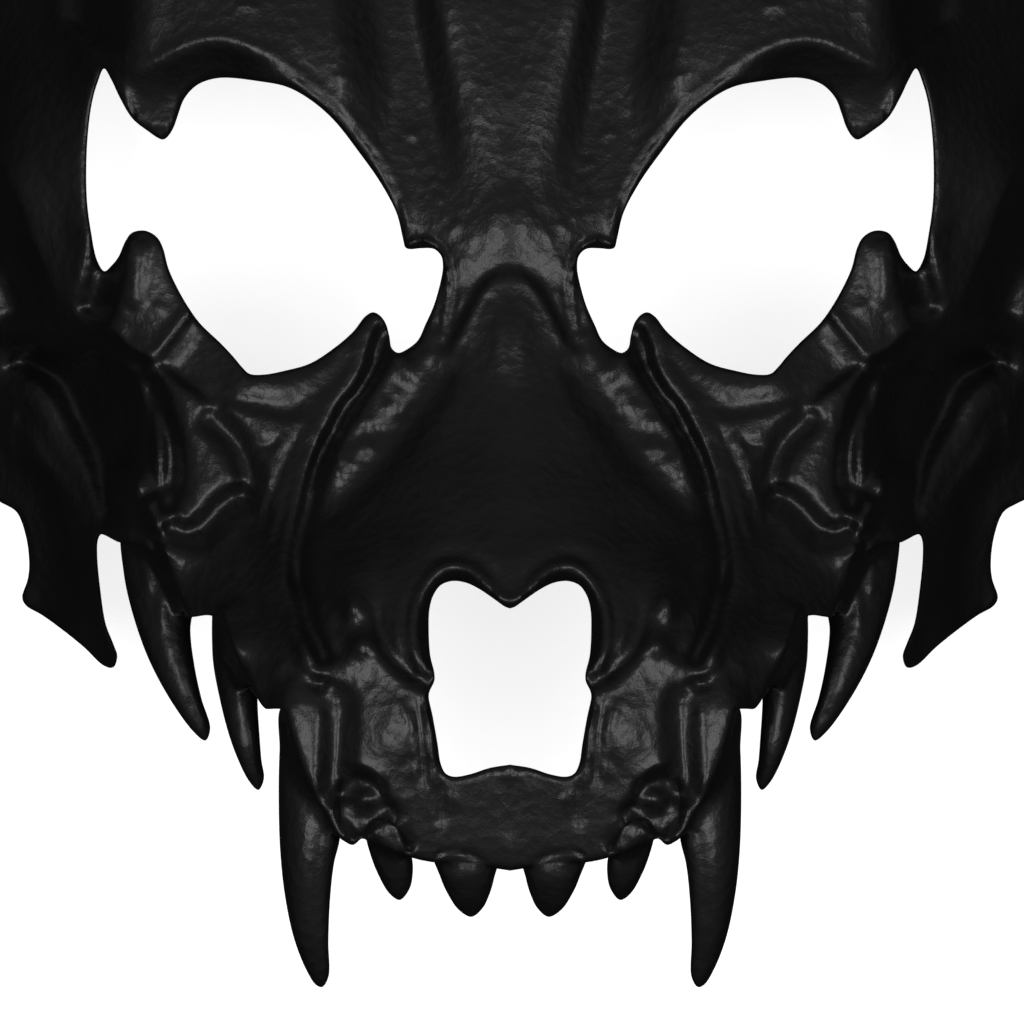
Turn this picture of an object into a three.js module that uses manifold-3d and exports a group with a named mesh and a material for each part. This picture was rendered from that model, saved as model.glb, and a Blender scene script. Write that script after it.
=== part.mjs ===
// A hollow skull mask of a long-toothed carnivore, moulded in one piece, lying face up on its flat back rim.
// Millimetres. X runs across the face, +Y towards the forehead, +Z out of the face; the floor is Z = 0.
import * as THREE from 'three';
import { mergeVertices } from 'three/addons/utils/BufferGeometryUtils.js';
import Module from 'manifold-3d';

const wasm = await Module();
wasm.setup();

// Driving sizes
const HALF_WIDTH = 72;
const FOREHEAD_TOP = 83.5;
const GUM_LEVEL = -70;
const TALLEST = 100;
const WALL = 3.4;
const THINNEST = 1.8;
const BELOW_FLOOR = -12;

// Spacing of the surface grids and of the outlines
const FACE_STEP = 2.5;
const TEMPLE_STEP = 4.2;
const FOREHEAD_STEP = 5.5;
const INNER_STEP = 6.2;
const OUTLINE_STEP = 3.3;
const LINE_STEP = 1.2;
const SOFTENING = 1.2;
const FACE_HALF_WIDTH = 56;
const FOREHEAD_START = 38;

// Outlines are given for one half as [distance from the midline, y] and are mirrored.
const BONE_OUTLINE = [
  [0, -68.9], [1.9, -68.6], [5, -68.1], [9.1, -67.9], [10.5, -67.7], [11.8, -67.4], [15, -66.3],
  [17.8, -65.1], [18.4, -64.9], [19.5, -65.7], [20.5, -65.3], [21.4, -64.6], [22.6, -62.6], [24, -60.1],
  [25.4, -57.4], [26.7, -54.1], [27.6, -51], [28.4, -48.9], [29.4, -48.8], [30.4, -48.8], [31, -48.2],
  [31.5, -47.4], [32.6, -45.4], [34.2, -42.4], [35.3, -39.6], [36, -37.8], [37.6, -37.2], [39.4, -37.4],
  [40.1, -37.4], [41.2, -35.2], [42.7, -32.2], [44.2, -30], [46, -28.6], [48, -28.2], [49, -28.1],
  [51.4, -27.1], [51.8, -27.8], [51.9, -29.7], [51.5, -34.1], [50.8, -38.4], [49.8, -40.9], [49.3, -42.4],
  [49.8, -43.8], [50.9, -43.6], [53.8, -41.1], [58.8, -37.4], [61, -36.1], [61.5, -35.1], [60.8, -32.8],
  [60.6, -30.9], [61, -27.4], [62.2, -24.3], [63.8, -23.3], [65.2, -22.6], [67.5, -20.9], [70, -17.2],
  [71.5, -11.6], [HALF_WIDTH, -1.6], [HALF_WIDTH, 14.7], [71.5, 32], [70, 49.7], [66.2, 62], [60, 71.6],
  [50, 78.4], [37.5, 82.2], [22.5, 83.4], [0, FOREHEAD_TOP],
];
const NOSE_OUTLINE = [
  [0, -36.3], [0.6, -36.1], [1.6, -35.4], [3.8, -33.9], [5.5, -33.1], [7.2, -32.9], [8.6, -33.4],
  [9.5, -34.6], [10, -36.3], [10.1, -39.1], [9.9, -42.2], [9.4, -44.3], [9.4, -45.3], [10, -46.6],
  [10.1, -47.3], [9.6, -49.7], [9, -53.1], [8.6, -55.6], [8, -56.8], [7, -57.2], [5, -56.9],
  [2.5, -56.1], [0, -55.7],
];
const EYE_OUTLINE = [
  [51, 31.4], [50, 29.9], [49, 27.8], [47.4, 25.1], [45.6, 23.6], [43.6, 22.4], [42.2, 23.9], [41.6, 25.6],
  [40.8, 27.6], [39.1, 29.3], [36.4, 30.1], [31.2, 29.6], [27.9, 28.9], [25, 27.3], [22.1, 24.8],
  [18.8, 20.6], [16.2, 16.9], [14.2, 13.1], [13.4, 9.9], [12.6, 8.6], [11.2, 8.7], [9.5, 8.6], [8.6, 7.7],
  [8.4, 6.3], [8.6, 4.9], [9.5, 1.6], [10.6, -0.9], [11.5, -2.8], [12.8, -3.9], [14, -4.4], [14.8, -3.8],
  [15.6, -0.6], [16.4, 0.4], [17.2, 0.7], [18.1, 0.2], [19.6, -1.7], [21.9, -3.7], [25, -5.7], [28.1, -6.6],
  [30.8, -7.1], [32.6, -7], [33.6, -6.1], [34.6, -4.9], [36.2, -3.2], [38.8, -0.7], [41.6, 3.6],
  [43.5, 8.8], [44.2, 10.1], [46.2, 11], [48.2, 9.7], [49.1, 7.7], [50, 6.6], [50.9, 5.9], [51.8, 7.2],
  [52.6, 10.9], [53.1, 14.7], [53.2, 19.1], [53, 23.4], [52.5, 27.2], [51.8, 29.7],
];

// The smooth form under the carving: its height at stations across the face, for rows along y.
const STATIONS = [0, 8, 16, 24, 32, 40, 48, 56, 64, 72, 80];
const FORM_ROWS = [
  [-90, [67, 67, 67.4, 66, 58, 50, 40, 20, 9, 1, -9]],
  [-76, [72, 72, 72.4, 71, 64, 54, 42, 20, 9, 1, -9]],
  [-64, [76.2, 76.2, 76.6, 75.4, 69.5, 58, 43, 20, 9, 1, -9]],
  [-54, [78.2, 78, 77.6, 75.6, 70, 60, 44, 20, 9, 1, -9]],
  [-44, [77.8, 77.6, 76.8, 74.4, 68.4, 58, 44.5, 21, 9, 1, -9]],
  [-34, [75, 73.8, 70.8, 66, 59.8, 52, 43.5, 22, 10, 1, -9]],
  [-24, [68, 66, 61, 55.5, 51.5, 48, 41, 24, 12.5, 1.5, -9]],
  [-14, [60.4, 58, 53, 50, 48.4, 46, 38.8, 25, 14, 2, -10]],
  [-4, [55, 52.4, 48.2, 46.6, 46.2, 44, 39.8, 28, 16, 2, -10]],
  [6, [51.8, 49.6, 45.4, 43, 42.5, 41.5, 39.8, 32, 22, 2, -10]],
  [16, [49.4, 47.6, 45.8, 44, 42.6, 41, 37.4, 32, 24.5, 2, -10]],
  [28, [46.8, 45.8, 46, 46.4, 45.3, 43, 38, 28, 18, 1.5, -10]],
  [40, [43.4, 43, 43.2, 43.6, 43, 41, 36.6, 22, 11, 1, -9]],
  [56, [37, 36.5, 35.5, 33, 29.5, 25, 19, 12, 5, -1.5, -8]],
  [70, [24, 23.5, 22.2, 20, 17, 13, 8, 3.5, -1, -5, -9]],
  [86, [-4, -4, -4, -3.8, -3.6, -3.4, -3.8, -5, -7, -9, -11]],
];

// Carving along a line: its section gives the height at an offset to the left of the line's direction.
const LINE_CARVINGS = [
  {
    name: 'outer edge of the brow, falling to the temple',
    deep: true,
    path: [[49, 62], [48.4, 51], [47.6, 45], [47.2, 40], [47.4, 36.5], [48.2, 33.6], [50.3, 31]],
    section: [[-5, 0], [-1.5, 0.6], [0.2, 0.3], [3.8, -3.4], [6, -3.2], [10, 0]],
    fade: [0.35, 0.1],
  },
  {
    name: 'side bar, falling to the temple',
    deep: true,
    path: [[65, 21.9], [63.4, 17.2], [61.9, 14.1], [60.5, 9.9], [59, 6.6], [57.6, 2.6], [56.8, -0.1]],
    section: [[-5, 0], [-2, 0.4], [-0.4, 0.6], [2, -5], [4.4, -5.4], [9, 0]],
    fade: [0.25, 0.12],
  },
  {
    name: 'side face of the outer spike',
    deep: true,
    path: [[47.4, 10.4], [48.1, 7.6], [48.6, 5], [49.2, 2.5], [50, 0], [51, -1.9]],
    section: [[-3.6, 0], [-1.4, 0.4], [-0.3, 0.5], [1.8, -3.4], [2.8, -3.4], [5.4, 0]],
    fade: [0.06, 0.2],
  },
  {
    name: 'step beside the middle of the forehead',
    path: [[9.4, 60], [9, 48], [8.4, 40], [7.4, 34], [6.4, 28], [5.4, 22], [4.6, 16], [4.2, 10]],
    section: [[-5, 0], [-1.8, 0.1], [0, -0.3], [4.2, -3.4], [6.4, -3.4], [15, 0]],
    fade: [0.3, 0.5],
  },
  {
    name: 'crest of the brow and the slope into the eye',
    path: [
      [50.5, 30.2], [48.5, 30.9], [46, 31.4], [44, 32.4], [41.5, 33.8], [38.5, 34.8], [35.5, 34.8],
      [32.8, 34], [29.5, 32.4], [26, 29.9],
    ],
    section: [[-5, 0], [-1.4, 0.1], [0, 0.5], [2.4, -2.2], [5, -4.8], [8, -6.2], [12, -7]],
    fade: [0.28, 0.3],
  },
  {
    name: 'rolled rim on the inner side of the eye',
    path: [
      [30.5, 33], [27.5, 31.3], [23.8, 28.6], [20.5, 25.6], [17.6, 22.3], [15.2, 18.7], [13.6, 14.9],
      [12.7, 10.6],
    ],
    section: [[-2.8, 0], [-0.8, 0], [0.4, 0.5], [1.4, 0.2], [2.8, -0.9], [4, 0]],
    fade: [0.2, 0.04],
  },
  {
    name: 'step between the forehead and the nose',
    path: [[-1.5, 5.4], [0, 5.6], [1.4, 5.3], [2.8, 4.3], [4.2, 2.6], [5.3, 0.6], [6.3, -1.5], [7.2, -3.5]],
    section: [[-3.2, 0], [-0.6, 0.6], [1, -1.1], [3, -0.4], [6, 0]],
    fade: [0, 0.08],
  },
  {
    name: 'edge of the nose beside the strip of bone',
    path: [
      [8.6, -4.4], [9.5, -6.9], [10.8, -9.6], [12.8, -12.2], [15, -15], [17.2, -17.8], [19, -19.7],
      [21, -21.4], [23.4, -24], [25, -27],
    ],
    section: [[-4, 0], [-1.2, -0.9], [0.6, -0.5], [2.6, 0]],
    fade: [0.1, 0.15],
  },
  {
    name: 'ridge and groove from the inner spike down the cheek',
    path: [
      [17, 0.4], [17.4, -1.6], [18, -3.6], [18.7, -6.1], [20, -8.5], [21.6, -10.4], [23, -13],
      [24.5, -16], [25.6, -19], [26.4, -22], [27.1, -25], [27.8, -28], [28.1, -31], [27.9, -34],
      [27, -36.6],
    ],
    section: [[-4.4, 0], [-1.8, -2.2], [0, 0.5], [0.9, 0.6], [2.2, 0.1], [4, 0]],
    fade: [0.06, 0.15],
  },
  {
    name: 'rough strip of bone beside the groove',
    path: [
      [11.8, -3.6], [13.6, -7], [16, -10.6], [18.2, -13.8], [20, -17.2], [21.8, -20.8], [23.6, -24.4],
    ],
    section: [[-3.4, 0], [-2.4, 0.1], [0, 1.3], [1.7, 2.3], [2.9, 0]],
    fade: [0.12, 0.3],
  },
  {
    name: 'curve between the cheek plate and the folds',
    path: [
      [38.4, -11], [36.6, -13], [34.6, -15], [33.2, -17.4], [32.5, -20], [32.1, -23], [32, -26],
      [32.4, -29],
    ],
    section: [[-1.8, 0], [0.2, -2.1], [2.6, 0]],
    fade: [0.08, 0.2],
  },
  {
    name: 'crest over the folds',
    path: [
      [24.4, -11.3], [26, -12.3], [28, -13], [30.5, -12.4], [33.5, -11.6], [36.5, -11.1], [38.4, -10.9],
    ],
    section: [[-4.5, 0], [-0.6, 0.6], [1.2, -0.6], [3.4, 0]],
    fade: [0.15, 0.1],
  },
  {
    name: 'band beside the cheek plate',
    path: [[44.8, -6.6], [43.8, -9.6], [42.8, -12.8], [41.9, -16], [41.7, -19], [42, -22], [42.5, -24.8]],
    section: [[-1.2, 0], [0.4, -2], [2.6, 0]],
    fade: [0.06, 0.06],
  },
  {
    name: 'slope from the outer spike into the eye',
    path: [[39.6, 1.6], [40.6, 0.2], [41.6, -1.2], [42.8, -2.7], [44, -4.3], [45, -5.6]],
    section: [[-12, 0], [-7, -1.5], [-3.5, -2], [0, 0.5], [1.8, 0]],
    fade: [0, 0.1],
  },
  {
    name: 'crest under the outer spike',
    path: [[44.8, -5], [46.4, -4.4], [48, -3.6], [49.2, -2.4], [50.4, -1.6], [51.6, -2.2]],
    section: [[-2.8, 0], [-1.1, -1.5], [0.3, 0.8], [1.7, 0]],
    fade: [0.05, 0.1],
  },
  {
    name: 'pocket under the cheek plate',
    deep: true,
    path: [
      [32.4, -21.5], [34.6, -22], [36.4, -23.2], [37.9, -24.9], [39.4, -26.2], [41.2, -26.4], [42.6, -25],
    ],
    section: [[-3.6, 0], [-0.6, -2.5], [1.4, 0]],
    fade: [0.06, 0.08],
  },
  {
    name: 'fold between the cheek and the snout',
    path: [[26.7, -30], [26.3, -33], [25.5, -36], [24.9, -38.6], [23.9, -41], [22.5, -43.6]],
    section: [[-2, 0], [0, -2.2], [2, 0]],
    fade: [0.25, 0.08],
  },
  {
    name: 'rolled rim round the nose opening',
    path: [
      [-2.5, -33.6], [-1.2, -34.9], [0, -35.3], [1.2, -34.9], [2.5, -33.6], [4, -32], [5.6, -31.1],
      [7.2, -30.9], [8.6, -31.3], [9.8, -32.3], [10.9, -33.8], [11.7, -35.6], [12.1, -37.5],
      [12.1, -39.5], [11.8, -41.5], [11.2, -43.3], [10.4, -44.9],
    ],
    section: [[-3.2, -3], [-1.6, -1.6], [0, 0.7], [1.4, -0.5], [2.8, 0]],
    fade: [0, 0.05],
  },
  {
    name: 'step between the nose and the upper jaw',
    path: [[15.6, -33.6], [16.5, -37], [16.1, -40], [14.8, -42.4], [13.2, -44], [11.4, -45.2], [9.8, -46]],
    section: [[-2.6, 0], [-0.2, -1.3], [1.4, 0.3], [3, 0]],
    fade: [0.4, 0.02],
  },
  {
    name: 'valley between the upper jaw and the root of the long tooth',
    path: [[21.8, -44.6], [21.3, -48.6], [21.4, -53], [21.7, -57], [22, -61.6]],
    section: [[-3, 0], [0, -1.9], [2.6, 0]],
    fade: [0.2, 0.15],
  },
  {
    name: 'slope of the root of the long tooth',
    path: [[25.6, -43.6], [25.4, -48], [25, -53], [24.4, -58], [23.6, -62]],
    section: [[-2.6, 0], [0, 0.6], [3, 1.7], [5, 0]],
    fade: [0.3, 0.15],
  },
  {
    name: 'root of the first side tooth',
    path: [[44.6, -21.6], [43.4, -24.4], [42.2, -27], [41, -29.8], [39.9, -33]],
    section: [[-3, 0], [-2.3, 0.7], [0, 2.8], [1.6, 4.2], [2.7, 0]],
    fade: [0.12, 0.9],
  },
  {
    name: 'root of the second side tooth',
    path: [[34.8, -35.4], [34.2, -38], [33.2, -41], [32, -44.2]],
    section: [[-2.5, 0], [-1.8, 0.7], [0, 2.4], [1.2, 3.6], [2.1, 0]],
    fade: [0.12, 0.9],
  },
  {
    name: 'ridge of the side blade',
    path: [
      [61.8, -12], [60.8, -15], [59.4, -17.6], [57.5, -19.8], [56.2, -22], [55.1, -25], [54.3, -28],
      [53.9, -31], [53.5, -34], [52.9, -37], [52.2, -39.8], [50.8, -42.6],
    ],
    section: [[-5, 0], [-2, 0.3], [0, 1.4], [1.4, -1.4], [3, -2.4], [6, -1.6], [9, 0]],
    fade: [0.2, 0.06],
  },
];

// Carving inside a closed line: its section gives the height at a distance inside the edge.
const AREA_CARVINGS = [
  {
    name: 'hollow between the cheek and the side blade',
    deep: true,
    outline: [
      [56, -4.1], [51.2, -3.4], [47.5, -5.9], [45.6, -10.3], [45.5, -15.3], [46.2, -18.4], [48.1, -20.3],
      [48.8, -25.3], [51.2, -26.6], [52.8, -22.8], [54.4, -17.8], [56.2, -14.1], [58.1, -10.3],
      [60, -8.4], [63.8, -6.6], [62.5, -2.8],
    ],
    section: [[-2, 0], [0, -1.4], [3.2, -7.5]],
  },
  {
    name: 'cheek plate',
    outline: [
      [38.7, -9], [41, -8.2], [44.3, -7.2], [43.2, -10], [42.1, -13], [41.3, -16], [41, -19], [41.3, -22],
      [42, -24.6], [40.6, -26], [38.8, -25], [37, -23.1], [35, -21.6], [33.2, -21], [33.8, -18.8],
      [35, -16.4], [37, -14.2], [38.3, -12.4], [38.8, -10.6],
    ],
    section: [[-1.1, 0], [0.4, 0.5], [1.8, 0.9]],
  },
  {
    name: 'root of the long tooth',
    outline: [
      [26.8, -44.6], [28, -46.6], [28.1, -49.4], [26.8, -52.8], [25.6, -56], [24.4, -58.8], [23.6, -58.6],
      [22.9, -55.6], [22.8, -52], [23.2, -49], [24.6, -46.6],
    ],
    section: [[-1, 0], [0, 0.3], [1, 0.6], [2.4, 0.7]],
  },
  {
    name: 'socket over the corner tooth',
    deep: true,
    outline: [
      [15, -60], [15.8, -58], [17.4, -56.8], [19.4, -56.2], [20.9, -57.2], [21.8, -59.6], [21.6, -62.4],
      [20.8, -64], [18.6, -64.8], [16.6, -63.4], [15, -62.6], [13.6, -63], [14, -61.4],
    ],
    section: [[-0.6, 0], [0, -0.6], [0.9, -2.4], [1.6, -2.6]],
  },
];

// Round swellings: [distance from the midline, y], radii, height
const SWELLINGS = [
  { name: 'back of the nose', centre: [0, -2.5], radii: [3.2, 6], height: 1.2 },
  { name: 'upper jaw', centre: [15.4, -51.8], radii: [5, 7], height: 1.1 },
  { name: 'lens beside the cheek plate', centre: [43.9, -17.4], radii: [1.2, 4.4], height: 1.2 },
  { name: 'lump beside the lens', centre: [46.6, -21.2], radii: [1.6, 2.6], height: 2.6 },
  { name: 'lump in the socket', centre: [17.8, -60], radii: [2.1, 1.7], height: 2.1 },
  { name: 'upper lump on the side of the snout', centre: [19.6, -36], radii: [2, 2.6], height: 2.2 },
  { name: 'lower lump on the side of the snout', centre: [18.4, -40.8], radii: [2, 2], height: 1.8 },
  { name: 'lump beside the fold of the snout', centre: [25.4, -41.4], radii: [1.8, 2.4], height: 1.7 },
];

// Teeth: inner and outer edge from root to tip, the tip, heights of the middle from root to tip,
// depth over width, how far each leans back to the side, cuts along the length
const TOOTH_SIDES = 8;
const TEETH = [
  {
    name: 'long tooth',
    inner: [
      [21.4, -50], [21, -56], [20.9, -61.6], [21.2, -65.2], [21.9, -68.1], [22.4, -72.8], [22.6, -77.8],
      [22.6, -82.2],
    ],
    outer: [
      [28.3, -48.4], [28.7, -54], [28.8, -60.3], [28.6, -66.6], [28, -72.2], [26.9, -77.4], [25.4, -81.3],
      [24.2, -83.2],
    ],
    tip: [23.4, -83.5],
    heights: [67, 69.8, 70.2, 68.6, 65],
    depth: 0.95,
    lean: 0.25,
    rings: 8,
  },
  {
    name: 'second side tooth',
    inner: [[31.4, -41.6], [31.5, -47.8], [31.2, -52.8], [31, -55.3], [30.7, -57.6]],
    outer: [[36.6, -35], [37.2, -41.6], [36.2, -47.8], [34.5, -53.8], [32.5, -58]],
    tip: [31.4, -59],
    heights: [51.6, 54.4, 56.8, 57.8, 57],
    depth: 0.95,
    lean: 0.2,
    rings: 6,
  },
  {
    name: 'first side tooth',
    inner: [[39.6, -33], [40, -39.1], [39.5, -43.4], [38.6, -47.6], [37.5, -51.4]],
    outer: [[48.4, -26.4], [48.4, -32], [46.2, -40.3], [43.4, -46.3], [39.6, -51.8]],
    tip: [38.1, -52.9],
    heights: [39, 41.4, 44.2, 46, 46.2],
    depth: 0.8,
    lean: 0.2,
    rings: 6,
  },
  {
    name: 'corner tooth',
    inner: [[14.6, -62.8], [13.2, -64.6], [12.2, -67.2], [12.1, -69.4], [12.5, -71.2]],
    outer: [[17.4, -62.4], [17.9, -64.6], [17.4, -66.8], [16.5, -69.2], [15, -71.8]],
    tip: [13.7, -72.6],
    heights: [72.6, 72, 71, 69.4],
    depth: 0.9,
    lean: 0.1,
    rings: 5,
  },
  {
    name: 'middle tooth',
    inner: [[1.5, -66], [2, -70], [2.6, -72], [3.4, -73.6]],
    outer: [[9.6, -65.8], [8.6, -69.9], [7.7, -71.9], [6.4, -73.8]],
    tip: [4.8, -74.7],
    heights: [71.6, 72, 71, 69.4],
    depth: 0.8,
    lean: 0,
    rings: 5,
  },
];

// A smooth line through a few points, cut into short steps
function smoothLine(points, step, closed = false) {
  const corners = points.map(([x, y]) => new THREE.Vector3(x, y, 0));
  const curve = new THREE.CatmullRomCurve3(corners, closed, 'centripetal');
  const spans = closed ? corners.length : corners.length - 1;
  const line = [];
  for (let span = 0; span < spans; span += 1) {
    const length = corners[span].distanceTo(corners[(span + 1) % corners.length]);
    const cuts = Math.max(1, Math.ceil(length / step));
    for (let cut = 0; cut < cuts; cut += 1) {
      const point = curve.getPoint((span + cut / cuts) / spans);
      line.push([point.x, point.y]);
    }
  }
  if (!closed) {
    line.push([...points[points.length - 1]]);
  }
  return line;
}

// A closed line of the whole face from one half of it, whose ends are on the midline
function wholeOutline(half) {
  const line = smoothLine(half, OUTLINE_STEP);
  const mirrored = line.slice(1, -1).reverse().map(([x, y]) => [-x, y]);
  return [...line, ...mirrored];
}

// Distance from a point to a line, the place along it (0 to 1) and whether it lies to the line's left
function nearest(line, x, y, closed = false) {
  const last = closed ? line.length : line.length - 1;
  let best = Infinity;
  let travelled = 0;
  let place = 0;
  let left = false;
  for (let i = 0; i < last; i += 1) {
    const [ax, ay] = line[i];
    const [bx, by] = line[(i + 1) % line.length];
    const length = Math.hypot(bx - ax, by - ay);
    const along = ((x - ax) * (bx - ax) + (y - ay) * (by - ay)) / (length * length);
    const t = THREE.MathUtils.clamp(along, 0, 1);
    const distance = Math.hypot(x - ax - t * (bx - ax), y - ay - t * (by - ay));
    if (distance < best) {
      best = distance;
      place = travelled + t * length;
      left = (bx - ax) * (y - ay) - (by - ay) * (x - ax) >= 0;
    }
    travelled += length;
  }
  return { distance: best, place: place / travelled, left };
}

function isInside(line, x, y) {
  let inside = false;
  for (let i = 0; i < line.length; i += 1) {
    const [ax, ay] = line[i];
    const [bx, by] = line[(i + 1) % line.length];
    if ((ay > y) !== (by > y) && x < ((bx - ax) * (y - ay)) / (by - ay) + ax) {
      inside = !inside;
    }
  }
  return inside;
}

// Slopes of a smooth curve through values that never swings past them
function curveSlopes(xs, values) {
  const rises = values.slice(1).map((value, i) => (value - values[i]) / (xs[i + 1] - xs[i]));
  return values.map((value, i) => {
    if (i === 0) {
      return rises[0];
    }
    if (i === values.length - 1) {
      return rises[i - 1];
    }
    if (rises[i - 1] * rises[i] <= 0) {
      return 0;
    }
    const before = xs[i] - xs[i - 1];
    const after = xs[i + 1] - xs[i];
    const total = 3 * (before + after);
    return total / ((2 * after + before) / rises[i - 1] + (2 * before + after) / rises[i]);
  });
}

function curveAt(xs, values, slopes, x) {
  let i = 0;
  while (i < xs.length - 2 && x > xs[i + 1]) {
    i += 1;
  }
  const width = xs[i + 1] - xs[i];
  const t = THREE.MathUtils.clamp((x - xs[i]) / width, 0, 1);
  const start = (1 + 2 * t) * (1 - t) ** 2 * values[i] + t * (1 - t) ** 2 * width * slopes[i];
  const end = t * t * (3 - 2 * t) * values[i + 1] - t * t * (1 - t) * width * slopes[i + 1];
  return start + end;
}

// A carving's section as a function of the offset, flat at both ends
function sectionOf(knots) {
  const xs = knots.map(([x]) => x);
  const values = knots.map(([, value]) => value);
  const slopes = curveSlopes(xs, values);
  slopes[0] = 0;
  slopes[slopes.length - 1] = 0;
  return (x) => curveAt(xs, values, slopes, x);
}

const WIDE_STATIONS = [...STATIONS.slice(1).reverse().map((x) => -x), ...STATIONS];
const FORM = FORM_ROWS.map(([y, half]) => {
  const values = [...half.slice(1).reverse(), ...half];
  return { y, values, slopes: curveSlopes(WIDE_STATIONS, values) };
});
const FORM_YS = FORM.map((row) => row.y);

function formHeight(x, y) {
  const heights = FORM.map((row) => curveAt(WIDE_STATIONS, row.values, row.slopes, x));
  return curveAt(FORM_YS, heights, curveSlopes(FORM_YS, heights), y);
}

// A carving is worked out only near its line: the line, its section and the box that they reach
function prepared(carving, points, closed) {
  const line = smoothLine(points, LINE_STEP, closed);
  const ends = [carving.section[0][0], carving.section[carving.section.length - 1][0]];
  const box = new THREE.Box2().setFromPoints(line.map(([x, y]) => new THREE.Vector2(x, y)));
  box.expandByScalar(Math.max(...ends.map(Math.abs)));
  return { ...carving, line, closed, box, height: sectionOf(carving.section) };
}

const CARVINGS = [
  ...LINE_CARVINGS.map((carving) => prepared(carving, carving.path, false)),
  ...AREA_CARVINGS.map((carving) => prepared(carving, carving.outline, true)),
];
const DEEP_CARVINGS = CARVINGS.filter((carving) => carving.deep);

function fading(place, [atStart, atEnd]) {
  const start = atStart ? THREE.MathUtils.smoothstep(place, 0, atStart) : 1;
  const end = atEnd ? THREE.MathUtils.smoothstep(1 - place, 0, atEnd) : 1;
  return start * end;
}

function carvedBy(carvings, x, y) {
  const point = new THREE.Vector2(x, y);
  let total = 0;
  for (const { line, closed, box, height, fade } of carvings) {
    if (!box.containsPoint(point)) {
      continue;
    }
    const { distance, place, left } = nearest(line, x, y, closed);
    if (closed) {
      total += height(isInside(line, x, y) ? distance : -distance);
    } else {
      total += fading(place, fade) * height(left ? distance : -distance);
    }
  }
  return total;
}

function swellingAt(x, y) {
  let total = 0;
  for (const { centre, radii, height } of SWELLINGS) {
    const reach = ((x - centre[0]) / radii[0]) ** 2 + ((y - centre[1]) / radii[1]) ** 2;
    total += height * Math.exp(-1.6 * reach);
  }
  return total;
}

function carvedHeight(x, y) {
  const side = Math.abs(x);
  return formHeight(side, y) + carvedBy(CARVINGS, side, y) + swellingAt(side, y);
}

// The face is softened over a small ring, so that narrow carving doesn't break up on the grid.
function frontHeight(x, y) {
  let total = 2 * carvedHeight(x, y);
  for (let i = 0; i < 6; i += 1) {
    const turn = (Math.PI * i) / 3;
    total += carvedHeight(x + SOFTENING * Math.cos(turn), y + SOFTENING * Math.sin(turn));
  }
  return total / 8;
}

function mouldHeight(x, y) {
  const side = Math.abs(x);
  return formHeight(side, y) + carvedBy(DEEP_CARVINGS, side, y);
}

// The inner surface keeps the wall's thickness square to the face: the lowest reach of a ball under it.
const BALL_RINGS = [0, 0.55, 0.9];
const BALL_DIRECTIONS = 8;

function backHeight(x, y) {
  let lowest = frontHeight(x, y) - THINNEST;
  for (const ring of BALL_RINGS) {
    const directions = ring === 0 ? 1 : BALL_DIRECTIONS;
    for (let i = 0; i < directions; i += 1) {
      const turn = (2 * Math.PI * i) / directions;
      const height = mouldHeight(x + ring * WALL * Math.cos(turn), y + ring * WALL * Math.sin(turn));
      lowest = Math.min(lowest, height - WALL * Math.sqrt(1 - ring * ring));
    }
  }
  return lowest;
}

// Evenly cut lines from start to end
function cuts(start, end, step) {
  const count = Math.max(1, Math.round((end - start) / step));
  return Array.from({ length: count + 1 }, (_, i) => start + ((end - start) * i) / count);
}

// A block between a level floor and a height over a grid, the same on both sides of the midline
function reliefBlock(halfXs, ys, heightAt, floor) {
  const known = new Map();
  const height = (x, y) => {
    const place = `${Math.abs(x).toFixed(4)},${y.toFixed(4)}`;
    if (!known.has(place)) {
      known.set(place, Math.max(heightAt(Math.abs(x), y), floor + 1));
    }
    return known.get(place);
  };
  const xs = [...halfXs.slice(1).reverse().map((x) => -x), ...halfXs];
  const columns = xs.length - 1;
  const rows = ys.length - 1;
  const block = new THREE.BoxGeometry(1, 1, 1, columns, rows, 1);
  const position = block.attributes.position;
  for (let i = 0; i < position.count; i += 1) {
    const x = xs[Math.round((position.getX(i) + 0.5) * columns)];
    const y = ys[Math.round((position.getY(i) + 0.5) * rows)];
    position.setXYZ(i, x, y, position.getZ(i) > 0 ? height(x, y) : floor);
  }
  turnDiagonals(block, height);
  return block;
}

// Each square of the face is cut along the diagonal that lies closer to the carved surface.
function turnDiagonals(block, height) {
  const { index, attributes: { position } } = block;
  const [, , , , face] = block.groups;
  for (let i = face.start; i < face.start + face.count; i += 6) {
    const [a, b, d] = [0, 1, 2].map((k) => index.getX(i + k));
    const c = index.getX(i + 4);
    const middle = (p, q, axis) => (position.getComponent(p, axis) + position.getComponent(q, axis)) / 2;
    const x = middle(b, d, 0);
    const wanted = height(x, middle(b, d, 1));
    const kept = Math.abs(middle(b, d, 2) - wanted);
    const turned = Math.abs(middle(a, c, 2) - wanted);
    const alike = Math.abs(kept - turned) < 1e-6;
    if (alike ? x > 0 : turned < kept) {
      [a, b, c, a, c, d].forEach((corner, k) => index.setX(i + k, corner));
    }
  }
}

function solidOf(geometry) {
  const bare = geometry.clone();
  bare.deleteAttribute('normal');
  bare.deleteAttribute('uv');
  const merged = mergeVertices(bare, 1e-4);
  return new wasm.Manifold(new wasm.Mesh({
    numProp: 3,
    vertProperties: new Float32Array(merged.attributes.position.array),
    triVerts: new Uint32Array(merged.index.array),
  }));
}

function geometryOf(solid) {
  const mesh = solid.getMesh();
  const geometry = new THREE.BufferGeometry();
  geometry.setAttribute('position', new THREE.BufferAttribute(new Float32Array(mesh.vertProperties), 3));
  geometry.setIndex(new THREE.BufferAttribute(new Uint32Array(mesh.triVerts), 1));
  geometry.computeVertexNormals();
  return geometry;
}

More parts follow.
